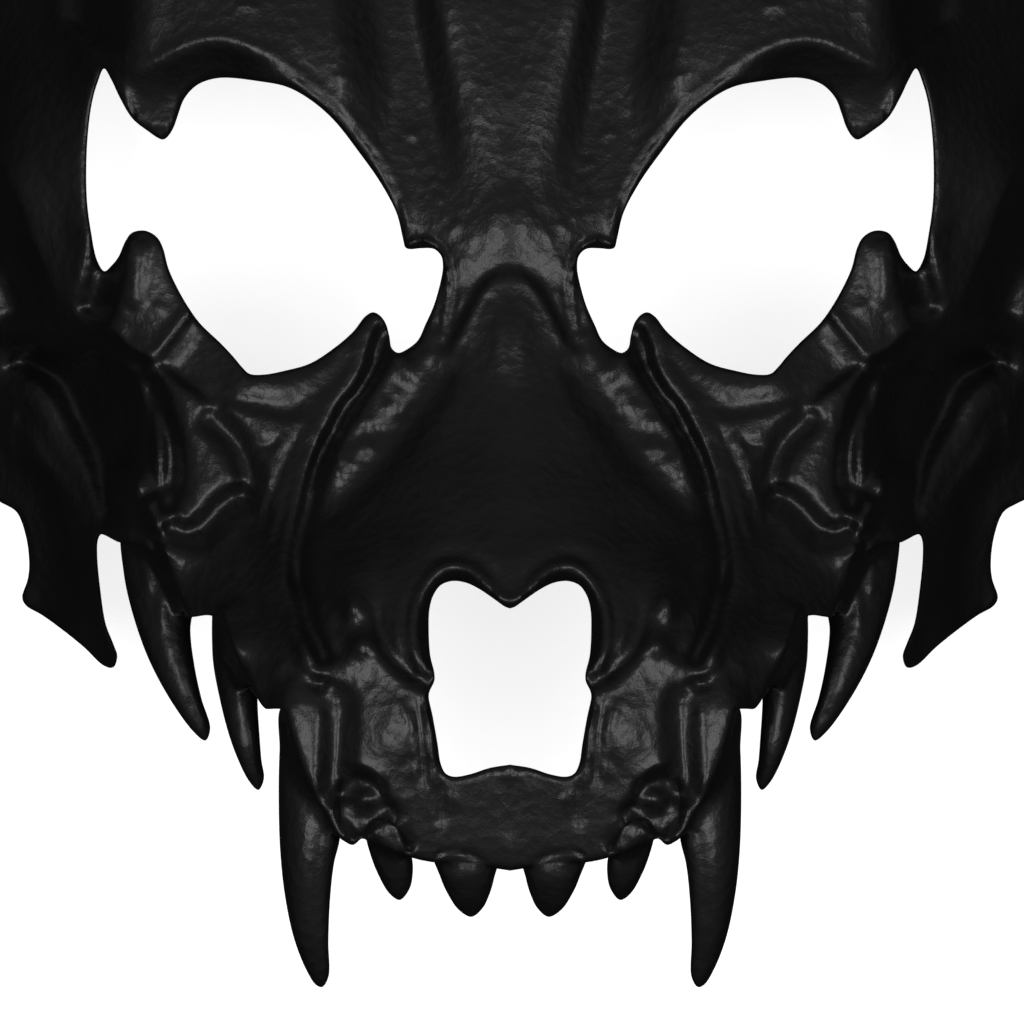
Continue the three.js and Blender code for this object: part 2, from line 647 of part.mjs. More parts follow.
// The outline with its eye and nose openings, drawn out upwards from the floor
function outlinePrism() {
  const toPath = (line) => line.map(([x, y]) => new THREE.Vector2(x, y));
  const shape = new THREE.Shape(toPath(wholeOutline(BONE_OUTLINE)));
  const eye = smoothLine(EYE_OUTLINE, OUTLINE_STEP, true);
  shape.holes.push(new THREE.Path(toPath(eye)));
  shape.holes.push(new THREE.Path(toPath(eye.map(([x, y]) => [-x, y]).reverse())));
  shape.holes.push(new THREE.Path(toPath(wholeOutline(NOSE_OUTLINE))));
  return new THREE.ExtrudeGeometry(shape, { depth: TALLEST, bevelEnabled: false });
}

// A tooth is a closed tube of oval sections between its two edges.
function toothGeometry({ inner, outer, tip, heights, depth, lean, rings }, side) {
  const innerCurve = new THREE.SplineCurve(inner.map(([x, y]) => new THREE.Vector2(x, y)));
  const outerCurve = new THREE.SplineCurve(outer.map(([x, y]) => new THREE.Vector2(x, y)));
  const places = heights.map((_, i) => i / (heights.length - 1));
  const slopes = curveSlopes(places, heights);
  const tube = new THREE.CylinderGeometry(1, 1, 1, TOOTH_SIDES, rings);
  const position = tube.attributes.position;
  for (let i = 0; i < position.count; i += 1) {
    const place = 0.5 - position.getY(i);
    const across = position.getX(i);
    const forward = position.getZ(i);
    const from = innerCurve.getPoint(place);
    const to = outerCurve.getPoint(place);
    const half = to.clone().sub(from).multiplyScalar(0.5);
    const middle = from.clone().add(half).addScaledVector(half, across);
    if (place === 1 && Math.hypot(across, forward) < 0.5) {
      middle.set(...tip);
    }
    const offset = (forward * depth - across * lean) * half.length();
    position.setXYZ(i, side * middle.x, middle.y, curveAt(places, heights, slopes, place) + offset);
  }
  return tube;
}

// Mirrored or turned shells get their faces pointing out again.
function turnedOut(geometry) {
  const solid = geometry.clone();
  const position = solid.attributes.position;
  const index = solid.index;
  const [a, b, c] = [new THREE.Vector3(), new THREE.Vector3(), new THREE.Vector3()];
  let volume = 0;
  for (let i = 0; i < index.count; i += 3) {
    a.fromBufferAttribute(position, index.getX(i));
    b.fromBufferAttribute(position, index.getX(i + 1));
    c.fromBufferAttribute(position, index.getX(i + 2));
    volume += a.dot(b.cross(c));
  }
  if (volume < 0) {
    index.array.reverse();
  }
  return solid;
}

function maskSolid() {
  const faceXs = [
    ...cuts(0, FACE_HALF_WIDTH, FACE_STEP),
    ...cuts(FACE_HALF_WIDTH, HALF_WIDTH + 2, TEMPLE_STEP).slice(1),
  ];
  const faceYs = [
    ...cuts(GUM_LEVEL, FOREHEAD_START, FACE_STEP),
    ...cuts(FOREHEAD_START, FOREHEAD_TOP + 2, FOREHEAD_STEP).slice(1),
  ];
  const innerXs = cuts(0, HALF_WIDTH + 3, INNER_STEP);
  const innerYs = cuts(GUM_LEVEL - 2, FOREHEAD_TOP + 3, INNER_STEP);
  const outside = solidOf(reliefBlock(faceXs, faceYs, frontHeight, BELOW_FLOOR));
  const hollow = solidOf(reliefBlock(innerXs, innerYs, backHeight, BELOW_FLOOR - 2));
  let mask = solidOf(outlinePrism()).intersect(outside).subtract(hollow);
  for (const tooth of TEETH) {
    for (const side of [-1, 1]) {
      mask = mask.add(solidOf(turnedOut(toothGeometry(tooth, side))));
    }
  }
  return mask;
}

const blackResin = new THREE.MeshStandardMaterial({ color: 0x171616, roughness: 0.38, metalness: 0 });
const mask = new THREE.Mesh(geometryOf(maskSolid()), blackResin);
mask.name = 'skull_mask';

const part = new THREE.Group();
part.add(mask);

export default part;
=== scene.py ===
from math import cos, radians, sin

import bpy
import numpy as np
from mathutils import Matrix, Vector, kdtree, noise
from mathutils.geometry import delaunay_2d_cdt


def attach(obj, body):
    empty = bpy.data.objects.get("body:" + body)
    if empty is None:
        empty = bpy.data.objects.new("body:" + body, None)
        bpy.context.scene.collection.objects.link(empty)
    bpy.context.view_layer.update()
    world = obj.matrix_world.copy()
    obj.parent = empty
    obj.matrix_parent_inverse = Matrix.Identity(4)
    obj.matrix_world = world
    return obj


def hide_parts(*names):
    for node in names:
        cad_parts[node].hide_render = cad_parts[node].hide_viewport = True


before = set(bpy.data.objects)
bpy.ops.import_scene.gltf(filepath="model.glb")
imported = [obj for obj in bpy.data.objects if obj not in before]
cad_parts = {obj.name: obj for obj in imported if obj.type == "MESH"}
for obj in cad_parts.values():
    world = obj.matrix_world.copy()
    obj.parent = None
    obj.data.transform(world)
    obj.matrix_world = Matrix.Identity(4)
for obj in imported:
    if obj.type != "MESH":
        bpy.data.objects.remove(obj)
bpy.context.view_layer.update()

MM = 0.001

# The moulding
WALL = 3.4
THINNEST = 1.8
EDGE_ROUNDING = 0.9
TOOTH_EDGE = 0.12
TOOTH_TIP = 0.25
GUM_BLEND = 0.5
ON_EDGE = 0.02
LEAST_DENTS = 0.22

# Spacing of the mesh
LINE_STEP = 0.42
FINE_STEP = 0.42
CREASE_GAP = 0.29
CREASE_REACH = 1.5
ROW_GAP = 0.36
EVENING_ROUNDS = 3
PLAIN_STEP = 1.0
BACK_STEP = 1.6
EDGE_RINGS = (0.1, 0.3, 0.6, 1.0)
RING_GAP = 0.09
CREASE_CLEARANCE = 0.2
SPREAD_CLEARANCE = 0.28
BACK_CLEARANCE = 0.8
FINE_AREA = (66, 44)
HALF_LOW = (0, -84)
HALF_HIGH = (72, 84)
FOREHEAD_POINTS = 260
GUM_POINTS = 30
NOTHING = 1e3

# Light
FILL = 0.13
LEAST_FILL = 0.01
FILL_FROM = (0, 0.15, 1)
FILL_EDGES = (-0.35, 0.55)
BOX_AZIMUTH = 24
BOX_ELEVATION = 1
BOX_DISTANCE = 0.75
BOX_SIZE = (0.42, 0.32)
BOX_POWER = 1.95
LIT_POINT = Vector((0, -0.02, 0.05))
SEEN_BACKGROUND = 0.8
FLOOR_SIZE = 12
FLOOR_PAINT = (0.8, 0.8, 0.8, 1)
FLOOR_ROUGHNESS = 0.9
FLOOR_GLOW = 0.8

# Camera
CAMERA_HEIGHT = 4.5
VIEW_CENTRE = (0.25 * MM, -24.3 * MM)
VIEW_WIDTH = 128 * MM
FACE_LEVEL = 50 * MM
SENSOR_WIDTH = 36
CLIP_START = 0.1
CLIP_END = 30

# Resin
BLACK = (0.0042, 0.0038, 0.0041, 1)
WARM_BLACK = (0.0098, 0.0086, 0.0088, 1)
SMOOTHEST = 0.26
GRAIN_SCALE = 900
PIT_SCALE = 620
PATCH_SCALE = 110
GRAIN_DEPTH = 0.0003

BONE_OUTLINE = [
    (0, -68.9), (1.9, -68.6), (5, -68.1), (9.1, -67.9), (10.5, -67.7), (11.8, -67.4), (15, -66.3), (17.8, -65.1),
    (18.4, -64.9), (19.5, -65.7), (20.5, -65.3), (21.4, -64.6), (22.6, -62.6), (24, -60.1), (25.4, -57.4),
    (26.7, -54.1), (27.6, -51), (28.4, -48.9), (29.4, -48.8), (30.4, -48.8), (31, -48.2), (31.5, -47.4), (32.6, -45.4),
    (34.2, -42.4), (35.3, -39.6), (36, -37.8), (37.6, -37.2), (39.4, -37.4), (40.1, -37.4), (41.2, -35.2),
    (42.7, -32.2), (44.2, -30), (46, -28.6), (48, -28.2), (49, -28.1), (51.4, -27.1), (51.8, -27.8),
    (51.9, -29.7), (51.5, -34.1), (50.8, -38.4),
    (49.8, -40.9), (49.3, -42.4), (49.8, -43.8), (50.9, -43.6), (53.8, -41.1), (58.8, -37.4), (61, -36.1),
    (61.5, -35.1), (60.8, -32.8), (60.6, -30.9), (61, -27.4), (62.2, -24.3), (63.8, -23.3), (65.2, -22.6),
    (67.5, -20.9), (70, -17.2), (71.5, -11.6), (72, -1.6), (72, 14.7), (71.5, 32), (70, 49.7), (66.2, 62),
    (60, 71.6), (50, 78.4), (37.5, 82.2), (22.5, 83.4), (0, 83.5),
]
NOSE_OUTLINE = [
    (0, -36.3), (0.6, -36.1), (1.6, -35.4), (3.8, -33.9), (5.5, -33.1), (7.2, -32.9), (8.6, -33.4), (9.5, -34.6),
    (10, -36.3), (10.1, -39.1), (9.9, -42.2), (9.4, -44.3), (9.4, -45.3), (10, -46.6), (10.1, -47.3), (9.6, -49.7),
    (9, -53.1), (8.6, -55.6), (8, -56.8), (7, -57.2), (5, -56.9), (2.5, -56.1), (0, -55.7),
]
EYE_OUTLINE = [
    (51, 31.4), (50, 29.9), (49, 27.8), (47.4, 25.1), (45.6, 23.6), (43.6, 22.4), (43, 22.7), (42.2, 23.9),
    (41.6, 25.6), (40.8, 27.6), (39.1, 29.3), (36.4, 30.1), (31.2, 29.6), (27.9, 28.9), (25, 27.3), (22.1, 24.8),
    (18.8, 20.6), (16.2, 16.9), (14.2, 13.1), (13.4, 9.9), (13.1, 8.8), (12.6, 8.6), (11.2, 8.7), (9.5, 8.6),
    (8.6, 7.7), (8.4, 6.3), (8.6, 4.9), (9.5, 1.6), (10.6, -0.9), (11.5, -2.8), (12.8, -3.9), (14, -4.4),
    (14.8, -3.8), (15.1, -2.3), (15.6, -0.6), (16.4, 0.4), (17.2, 0.7), (18.1, 0.2), (19.6, -1.7), (21.9, -3.7),
    (25, -5.7), (28.1, -6.6), (30.8, -7.1), (32.6, -7), (33.6, -6.1), (34.6, -4.9), (36.2, -3.2), (38.8, -0.7),
    (40.2, 1.2), (41.6, 3.6), (42.8, 6.2), (43.5, 8.8), (44.2, 10.1), (45.2, 10.8), (46.2, 11), (47.4, 10.7),
    (48.2, 9.7), (49.1, 7.7), (50, 6.6), (50.9, 5.9), (51.8, 7.2), (52.6, 10.9), (53.1, 14.7), (53.2, 19.1),
    (53, 23.4), (52.5, 27.2), (51.8, 29.7),
]

# The smooth form under the carving: its height at stations across the face, for rows along y.
STATIONS = [0, 8, 16, 24, 32, 40, 48, 56, 64, 72, 80]
FORM_ROWS = {
    -90: [67, 67, 67.4, 66, 58, 50, 40, 20, 9, 1, -9],
    -76: [72, 72, 72.4, 71, 64, 54, 42, 20, 9, 1, -9],
    -64: [76.2, 76.2, 76.6, 75.4, 69.5, 58, 43, 20, 9, 1, -9],
    -54: [78.2, 78, 77.6, 75.6, 70, 60, 44, 20, 9, 1, -9],
    -44: [77.8, 77.6, 76.8, 74.4, 68.4, 58, 44.5, 21, 9, 1, -9],
    -34: [75, 73.8, 70.8, 66, 59.8, 52, 43.5, 22, 10, 1, -9],
    -24: [68, 66, 61, 55.5, 51.5, 48, 41, 24, 12.5, 1.5, -9],
    -14: [60.4, 58, 53, 50, 48.4, 46, 38.8, 25, 14, 2, -10],
    -4: [55, 52.4, 48.2, 46.6, 46.2, 44, 39.8, 28, 16, 2, -10],
    6: [51.8, 49.6, 45.4, 43, 42.5, 41.5, 39.8, 32, 22, 2, -10],
    16: [49.4, 47.6, 45.8, 44, 42.6, 41, 37.4, 32, 24.5, 2, -10],
    28: [46.8, 45.8, 46, 46.4, 45.3, 43, 38, 28, 18, 1.5, -10],
    40: [43.4, 43, 43.2, 43.6, 43, 41, 36.6, 22, 11, 1, -9],
    56: [37, 36.5, 35.5, 33, 29.5, 25, 19, 12, 5, -1.5, -8],
    70: [24, 23.5, 22.2, 20, 17, 13, 8, 3.5, -1, -5, -9],
    86: [-4, -4, -4, -3.8, -3.6, -3.4, -3.8, -5, -7, -9, -11],
}

# Teeth: inner and outer edge from root to tip, the tip, heights of the middle from root to tip, depth over width,
# and how far each leans back to the side
TEETH = {
    "long": dict(
        inner=[(21.4, -50), (21, -56), (20.9, -61.6), (21.2, -65.2), (21.9, -68.1), (22.4, -72.8), (22.6, -77.8),
               (22.6, -82.2)],
        outer=[(28.3, -48.4), (28.7, -54), (28.8, -60.3), (28.6, -66.6), (28, -72.2), (26.9, -77.4), (25.4, -81.3),
               (24.2, -83.2)],
        tip=(23.4, -83.5), heights=[67, 69.8, 70.2, 68.6, 65], depth=0.95, lean=0.25),
    "second side": dict(
        inner=[(31.4, -41.6), (31.5, -47.8), (31.2, -52.8), (31, -55.3), (30.7, -57.6)],
        outer=[(36.6, -35), (37.2, -41.6), (36.2, -47.8), (34.5, -53.8), (32.5, -58)],
        tip=(31.4, -59), heights=[51.6, 54.4, 56.8, 57.8, 57], depth=0.95, lean=0.2),
    "first side": dict(
        inner=[(39.6, -33), (40, -39.1), (39.5, -43.4), (38.6, -47.6), (37.5, -51.4)],
        outer=[(48.4, -26.4), (48.4, -32), (46.2, -40.3), (43.4, -46.3), (39.6, -51.8)],
        tip=(38.1, -52.9), heights=[39, 41.4, 44.2, 46, 46.2], depth=0.8, lean=0.2),
    "corner": dict(
        inner=[(14.6, -62.8), (13.2, -64.6), (12.2, -67.2), (12.1, -69.4), (12.5, -71.2)],
        outer=[(17.4, -62.4), (17.9, -64.6), (17.4, -66.8), (16.5, -69.2), (15, -71.8)],
        tip=(13.7, -72.6), heights=[72.6, 72, 71, 69.4], depth=0.9, lean=0.1),
    "middle": dict(
        inner=[(1.5, -66), (2, -70), (2.6, -72), (3.4, -73.6)],
        outer=[(9.6, -65.8), (8.6, -69.9), (7.7, -71.9), (6.4, -73.8)],
        tip=(4.8, -74.7), heights=[71.6, 72, 71, 69.4], depth=0.8, lean=0),
}


def smooth_line(points, closed=False, step=LINE_STEP):
    """A smooth line through a few points, as short steps."""
    p = np.array(points, float)
    if closed:
        p = np.vstack([p[-1], p, p[0], p[1]])
    else:
        p = np.vstack([2 * p[0] - p[1], p, 2 * p[-1] - p[-2]])
    line = []
    for a, b, c, d in zip(p[:-3], p[1:-2], p[2:-1], p[3:]):
        t1 = np.linalg.norm(b - a) ** 0.5
        t2 = t1 + np.linalg.norm(c - b) ** 0.5
        t3 = t2 + np.linalg.norm(d - c) ** 0.5
        count = max(1, int(np.ceil(np.linalg.norm(c - b) / step)))
        for t in np.linspace(t1, t2, count, endpoint=False):
            a1 = (t1 - t) / t1 * a + t / t1 * b
            a2 = (t2 - t) / (t2 - t1) * b + (t - t1) / (t2 - t1) * c
            a3 = (t3 - t) / (t3 - t2) * c + (t - t2) / (t3 - t2) * d
            b1 = (t2 - t) / t2 * a1 + t / t2 * a2
            b2 = (t3 - t) / (t3 - t1) * a2 + (t - t1) / (t3 - t1) * a3
            line.append((t2 - t) / (t2 - t1) * b1 + (t - t1) / (t2 - t1) * b2)
    if not closed:
        line.append(p[-2])
    return np.array(line)


def nearest(at, line, closed=False):
    """Distance to a line, the place along it (0 to 1) and the side (+1 on its left)."""
    starts = line if closed else line[:-1]
    ends = np.roll(line, -1, axis=0) if closed else line[1:]
    run = ends - starts
    length = np.hypot(run[:, 0], run[:, 1]) + 1e-12
    before = np.concatenate([[0], np.cumsum(length)[:-1]])
    distance, place, side = np.empty((3, len(at)))
    for i in range(0, len(at), 8000):
        q = at[i:i + 8000, None, :] - starts[None]
        t = np.clip((q * run).sum(2) / length ** 2, 0, 1)
        square = ((q - t[..., None] * run) ** 2).sum(2)
        k = square.argmin(1)
        r = np.arange(len(k))
        distance[i:i + 8000] = np.sqrt(square[r, k])
        place[i:i + 8000] = (before[k] + t[r, k] * length[k]) / length.sum()
        turn = run[k, 0] * q[r, k, 1] - run[k, 1] * q[r, k, 0]
        side[i:i + 8000] = np.where(turn >= 0, 1.0, -1.0)
    return distance, place, side


def is_inside(at, loop):
    x, y = at[:, 0], at[:, 1]
    inside = np.zeros(len(at), bool)
    for (x0, y0), (x1, y1) in zip(loop, np.roll(loop, -1, axis=0)):
        if y0 != y1:
            crosses = (y0 > y) != (y1 > y)
            inside ^= crosses & (x < (x1 - x0) * (y - y0) / (y1 - y0) + x0)
    return inside


def depth_inside(at, loop):
    """Distance inside a closed line, negative outside it."""
    distance, _, _ = nearest(at, loop, closed=True)
    return np.where(is_inside(at, loop), distance, -distance)


def ease(t):
    t = np.clip(t, 0, 1)
    return t * t * (3 - 2 * t)


def curve_slopes(xs, values):
    """Slopes of a smooth curve through values that never swings past them."""
    widths = np.diff(xs)
    rises = np.diff(values, axis=-1) / widths
    slopes = np.zeros_like(values)
    after = 2 * widths[1:] + widths[:-1]
    before = widths[1:] + 2 * widths[:-1]
    same = rises[..., :-1] * rises[..., 1:] > 0
    with np.errstate(divide="ignore", invalid="ignore"):
        inner = (after + before) / (after / rises[..., :-1] + before / rises[..., 1:])
    slopes[..., 1:-1] = np.where(same, inner, 0)
    slopes[..., 0] = rises[..., 0]
    slopes[..., -1] = rises[..., -1]
    return slopes


def curve_at(xs, values, slopes, x):
    """The smooth curve at x. With a row of values for each x, every x has a curve of its own."""
    k = np.clip(np.searchsorted(xs, x) - 1, 0, len(xs) - 2)
    width = xs[k + 1] - xs[k]
    t = np.clip((x - xs[k]) / width, 0, 1)
    rows = (np.arange(len(x)),) if values.ndim == 2 else ()
    start, end = values[(*rows, k)], values[(*rows, k + 1)]
    leaving, arriving = slopes[(*rows, k)], slopes[(*rows, k + 1)]
    return ((1 + 2 * t) * (1 - t) ** 2 * start + t * (1 - t) ** 2 * width * leaving
            + t * t * (3 - 2 * t) * end - t * t * (1 - t) * width * arriving)


def form_height(at):
    ys = np.array(sorted(FORM_ROWS), float)
    half = np.array([FORM_ROWS[y] for y in sorted(FORM_ROWS)], float)
    xs = np.concatenate([-np.array(STATIONS[:0:-1], float), STATIONS])
    table = np.concatenate([half[:, :0:-1], half], axis=1)
    slopes = curve_slopes(xs, table)
    across = np.stack([curve_at(xs, values, slope, at[:, 0]) for values, slope in zip(table, slopes)], axis=1)
    return curve_at(ys, across, curve_slopes(ys, across), at[:, 1])


class Relief:
    """Heights of the face at points of one half, and the tools that carve them."""

    def __init__(self, at):
        self.at = np.stack([np.abs(at[:, 0]), at[:, 1]], axis=1)
        self.z = form_height(self.at)
        self.creases = []

    def _near(self, line, reach):
        return ((self.at >= line.min(0) - reach) & (self.at <= line.max(0) + reach)).all(1)

    def _crease(self, line, section, closed):
        """Remembers rows of points beside a carved line, for the mesh to follow."""
        ahead = np.roll(line, -1, axis=0) - np.roll(line, 1, axis=0) if closed else np.gradient(line, axis=0)
        ahead /= np.hypot(ahead[:, 0], ahead[:, 1])[:, None]
        leftward = np.stack([-ahead[:, 1], ahead[:, 0]], axis=1)
        if closed and not is_leftward(line):
            leftward = -leftward
        rows = int(CREASE_REACH / ROW_GAP)
        for row in range(-rows, rows + 1):
            if section[0][0] <= row * ROW_GAP <= section[-1][0]:
                self.creases.append((abs(row), line + row * ROW_GAP * leftward))

    @staticmethod
    def _section(knots, offset):
        knots = np.array(knots, float)
        slopes = curve_slopes(knots[:, 0], knots[:, 1])
        slopes[0] = slopes[-1] = 0
        return curve_at(knots[:, 0], knots[:, 1], slopes, offset)

    def along(self, path, section, fade=(0.15, 0.15)):
        """Carves a section along a line, with offsets to the left of its direction, fading at its ends."""
        line = smooth_line(path)
        self._crease(line, section, closed=False)
        near = self._near(line, max(abs(section[0][0]), abs(section[-1][0])))
        distance, place, side = nearest(self.at[near], line)
        size = np.ones(len(place))
        if fade[0]:
            size *= ease(place / fade[0])
        if fade[1]:
            size *= ease((1 - place) / fade[1])
        self.z[near] += size * self._section(section, distance * side)

    def within(self, outline, section):
        """Raises or sinks the inside of a closed line by a section of the distance inside its edge."""
        line = smooth_line(outline, closed=True)
        self._crease(line, section, closed=True)
        near = self._near(line, abs(section[0][0]))
        self.z[near] += self._section(section, depth_inside(self.at[near], line))

    def ridge(self, path, width, height):
        """A round ridge along a line, or with a negative height a groove."""
        self.along(path, [(-width / 2, 0), (0, height), (width / 2, 0)], fade=(0.2, 0.2))

    def groove(self, path, width, depth):
        self.ridge(path, width, -depth)

    def swell(self, centre, radii, height, turn=0):
        """A round swelling, or with a negative height a dent."""
        c, s = cos(radians(turn)), sin(radians(turn))
        q = self.at - np.array(centre)
        u = (q[:, 0] * c + q[:, 1] * s) / radii[0]
        v = (q[:, 1] * c - q[:, 0] * s) / radii[1]
        square = u * u + v * v
        self.z += np.where(square < 4, height * np.exp(-1.6 * square) * np.clip(1 - square / 4, 0, 1), 0)


def carve_falls(face):
    """The high edges that fall to the temples, and the hollow behind the cheek: the wall follows these."""
    face.along([(49, 62), (48.4, 51), (47.6, 45), (47.2, 40), (47.4, 36.5), (48.2, 33.6), (50.3, 31)],
               [(-5, 0), (-1.5, 0.6), (0.2, 0.3), (3.8, -3.4), (6, -3.2), (10, 0)], fade=(0.35, 0.1))
    face.along([(65, 21.9), (63.4, 17.2), (61.9, 14.1), (60.5, 9.9), (59, 6.6), (57.6, 2.6), (56.8, -0.1)],
               [(-5, 0), (-2, 0.4), (-0.4, 0.6), (2, -5), (4.4, -5.4), (9, 0)], fade=(0.25, 0.12))
    face.along([(47.4, 10.4), (48.1, 7.6), (48.6, 5), (49.2, 2.5), (50, 0), (51, -1.9)],
               [(-3.6, 0), (-1.4, 0.4), (-0.3, 0.5), (1.8, -3.4), (2.8, -3.4), (5.4, 0)], fade=(0.06, 0.2))
    face.within([(56, -4.1), (51.2, -3.4), (47.5, -5.9), (45.6, -10.3), (45.5, -15.3), (46.2, -18.4), (48.1, -20.3),
                 (48.8, -25.3), (51.2, -26.6), (52.8, -22.8), (54.4, -17.8), (56.2, -14.1), (58.1, -10.3),
                 (60, -8.4), (63.8, -6.6), (62.5, -2.8)],
                [(-2, 0), (0, -1.4), (3.2, -7.5)])


def carve_forehead(face):
    face.along([(9.4, 60), (9, 48), (8.4, 40), (7.4, 34), (6.4, 28), (5.4, 22), (4.6, 16), (4.2, 10)],
               [(-5, 0), (-1.8, 0.1), (0, -0.3), (4.2, -4.2), (7, -4.4), (15, 0)], fade=(0.3, 0.5))
    for y in (38.4, 36.6, 34.1, 30.1, 26.9, 20.7, 18.8, 15.1, 13.1, 8.4, -5.9, -7.6):
        face.swell((0, y), (0.6, 0.5), 0.22)
    for stroke in ([(10.4, 19.8), (8.8, 18.2)], [(10, 17.7), (8.4, 16.1)], [(9.6, 15.6), (7.9, 14)],
                   [(9, 13.4), (7.5, 12)], [(6, 12.1), (7, 11.2), (7.9, 10)], [(18.8, 34.1), (20.5, 34.2), (22, 33.9)],
                   [(19.2, 29.6), (20.9, 30), (22.6, 30.6)], [(11.3, 22.4), (12.4, 23.2), (13.6, 23)],
                   [(5.6, 7.9), (6.4, 6.6), (7, 5.2)], [(31, 38.6), (33, 39.2), (34.6, 38.8)]):
        face.ridge(stroke, 1, 0.4)


def carve_brow(face):
    face.along([(50.5, 30.2), (48.5, 30.9), (46, 31.4), (44, 32.4), (41.5, 33.8), (38.5, 34.8), (35.5, 34.8),
                (32.8, 34), (29.5, 32.4), (26, 29.9)],
               [(-5, 0), (-1.4, 0.1), (0, 0.4), (0.8, -0.2), (2.4, -2.2), (5, -4.8), (8, -6.2), (12, -7)],
               fade=(0.28, 0.3))
    face.along([(30.5, 33), (27.5, 31.3), (23.8, 28.6), (20.5, 25.6), (17.6, 22.3), (15.2, 18.7), (13.6, 14.9),
                (12.7, 10.6)],
               [(-2.8, 0), (-0.8, 0), (0, 0.35), (0.55, 0.05), (1.1, 0.35), (1.9, -0.3), (2.8, -0.9), (4, 0)],
               fade=(0.2, 0.04))
    face.along([(13.2, 9.1), (12.2, 9.4), (11.2, 9.7), (10.2, 9.5), (9.2, 8.9), (8.4, 7.9), (7.9, 6.4), (7.7, 4.5),
                (7.8, 2.5), (8.1, 0.2), (8.5, -2.3)],
               [(-1.5, 0), (-0.6, -0.35), (0, 0.45), (0.6, -0.35), (1.5, 0)], fade=(0.05, 0.05))


def carve_nose(face):
    face.along([(-1.5, 5.4), (0, 5.6), (1.4, 5.3), (2.8, 4.3), (4.2, 2.6), (5.3, 0.6), (6.3, -1.5), (7.2, -3.5)],
               [(-3.2, 0), (-1.1, 0.2), (-0.4, 0.5), (0.4, -0.7), (1.2, -0.9), (3, -0.4), (6, 0)], fade=(0, 0.08))
    face.ridge([(5.4, 4.2), (6.1, 2.4), (6.8, 0.6), (7.3, -1), (7.8, -2.4)], 1.2, 0.5)
    face.swell((8.3, -3.3), (0.9, 0.8), -1.4)
    face.swell((0, -2.5), (3.2, 6), 1.2)
    face.swell((0, 12), (5, 5), 0.8)
    face.groove([(0, -19), (0, -24), (0, -29), (0, -35)], 1.3, 0.35)
    for x, y in ((1, 2.5), (1.4, -1), (0.4, -3.4), (2.6, 0.8), (5.4, -6), (6.8, -8.7), (7.4, 8), (5, 9.6)):
        face.swell((x, y), (0.5, 1), 0.25)
    face.along([(8.6, -4.4), (9.5, -6.9), (10.8, -9.6), (12.8, -12.2), (15, -15), (17.2, -17.8), (19, -19.7),
                (21, -21.4), (23.4, -24), (25, -27)],
               [(-4, 0), (-1.2, -0.9), (0.6, -0.5), (2.6, 0)], fade=(0.1, 0.15))
    rim = [(0, -35.3), (1.2, -34.9), (2.5, -33.6), (4, -32), (5.6, -31.1), (7.2, -30.9), (8.6, -31.3), (9.8, -32.3),
           (10.9, -33.8), (11.7, -35.6), (12.1, -37.5), (12.1, -39.5), (11.8, -41.5), (11.2, -43.3), (10.4, -44.9)]
    start = [(-x, y) for x, y in rim[2:0:-1]]
    face.along(start + rim, [(-3.2, -3), (-1.7, -2), (-0.7, -0.2), (0, 0.6), (0.7, -0.1), (1.3, -0.6),
                             (2, -0.3), (2.8, 0)], fade=(0, 0.05))
    face.ridge([(9.2, -29.8), (10.8, -31.2), (12.3, -33.2), (13.4, -35.4), (13.9, -37.8), (13.8, -40), (13.2, -42.2),
                (12.4, -43.8)], 1.7, 0.6)
    face.along([(15.6, -33.6), (16.5, -37), (16.1, -40), (14.8, -42.4), (13.2, -44), (11.4, -45.2), (9.8, -46)],
               [(-2.6, 0), (-0.8, -0.9), (0, -1.2), (0.6, -0.3), (1.4, 0.3), (3, 0)], fade=(0.4, 0.02))
    for x, y in ((17.9, -28.3), (16.3, -28.1), (4.4, -17.8), (4.4, -19.4), (3.2, -27.9), (3.4, -19.6)):
        face.swell((x, y), (0.55, 0.5), 0.3)


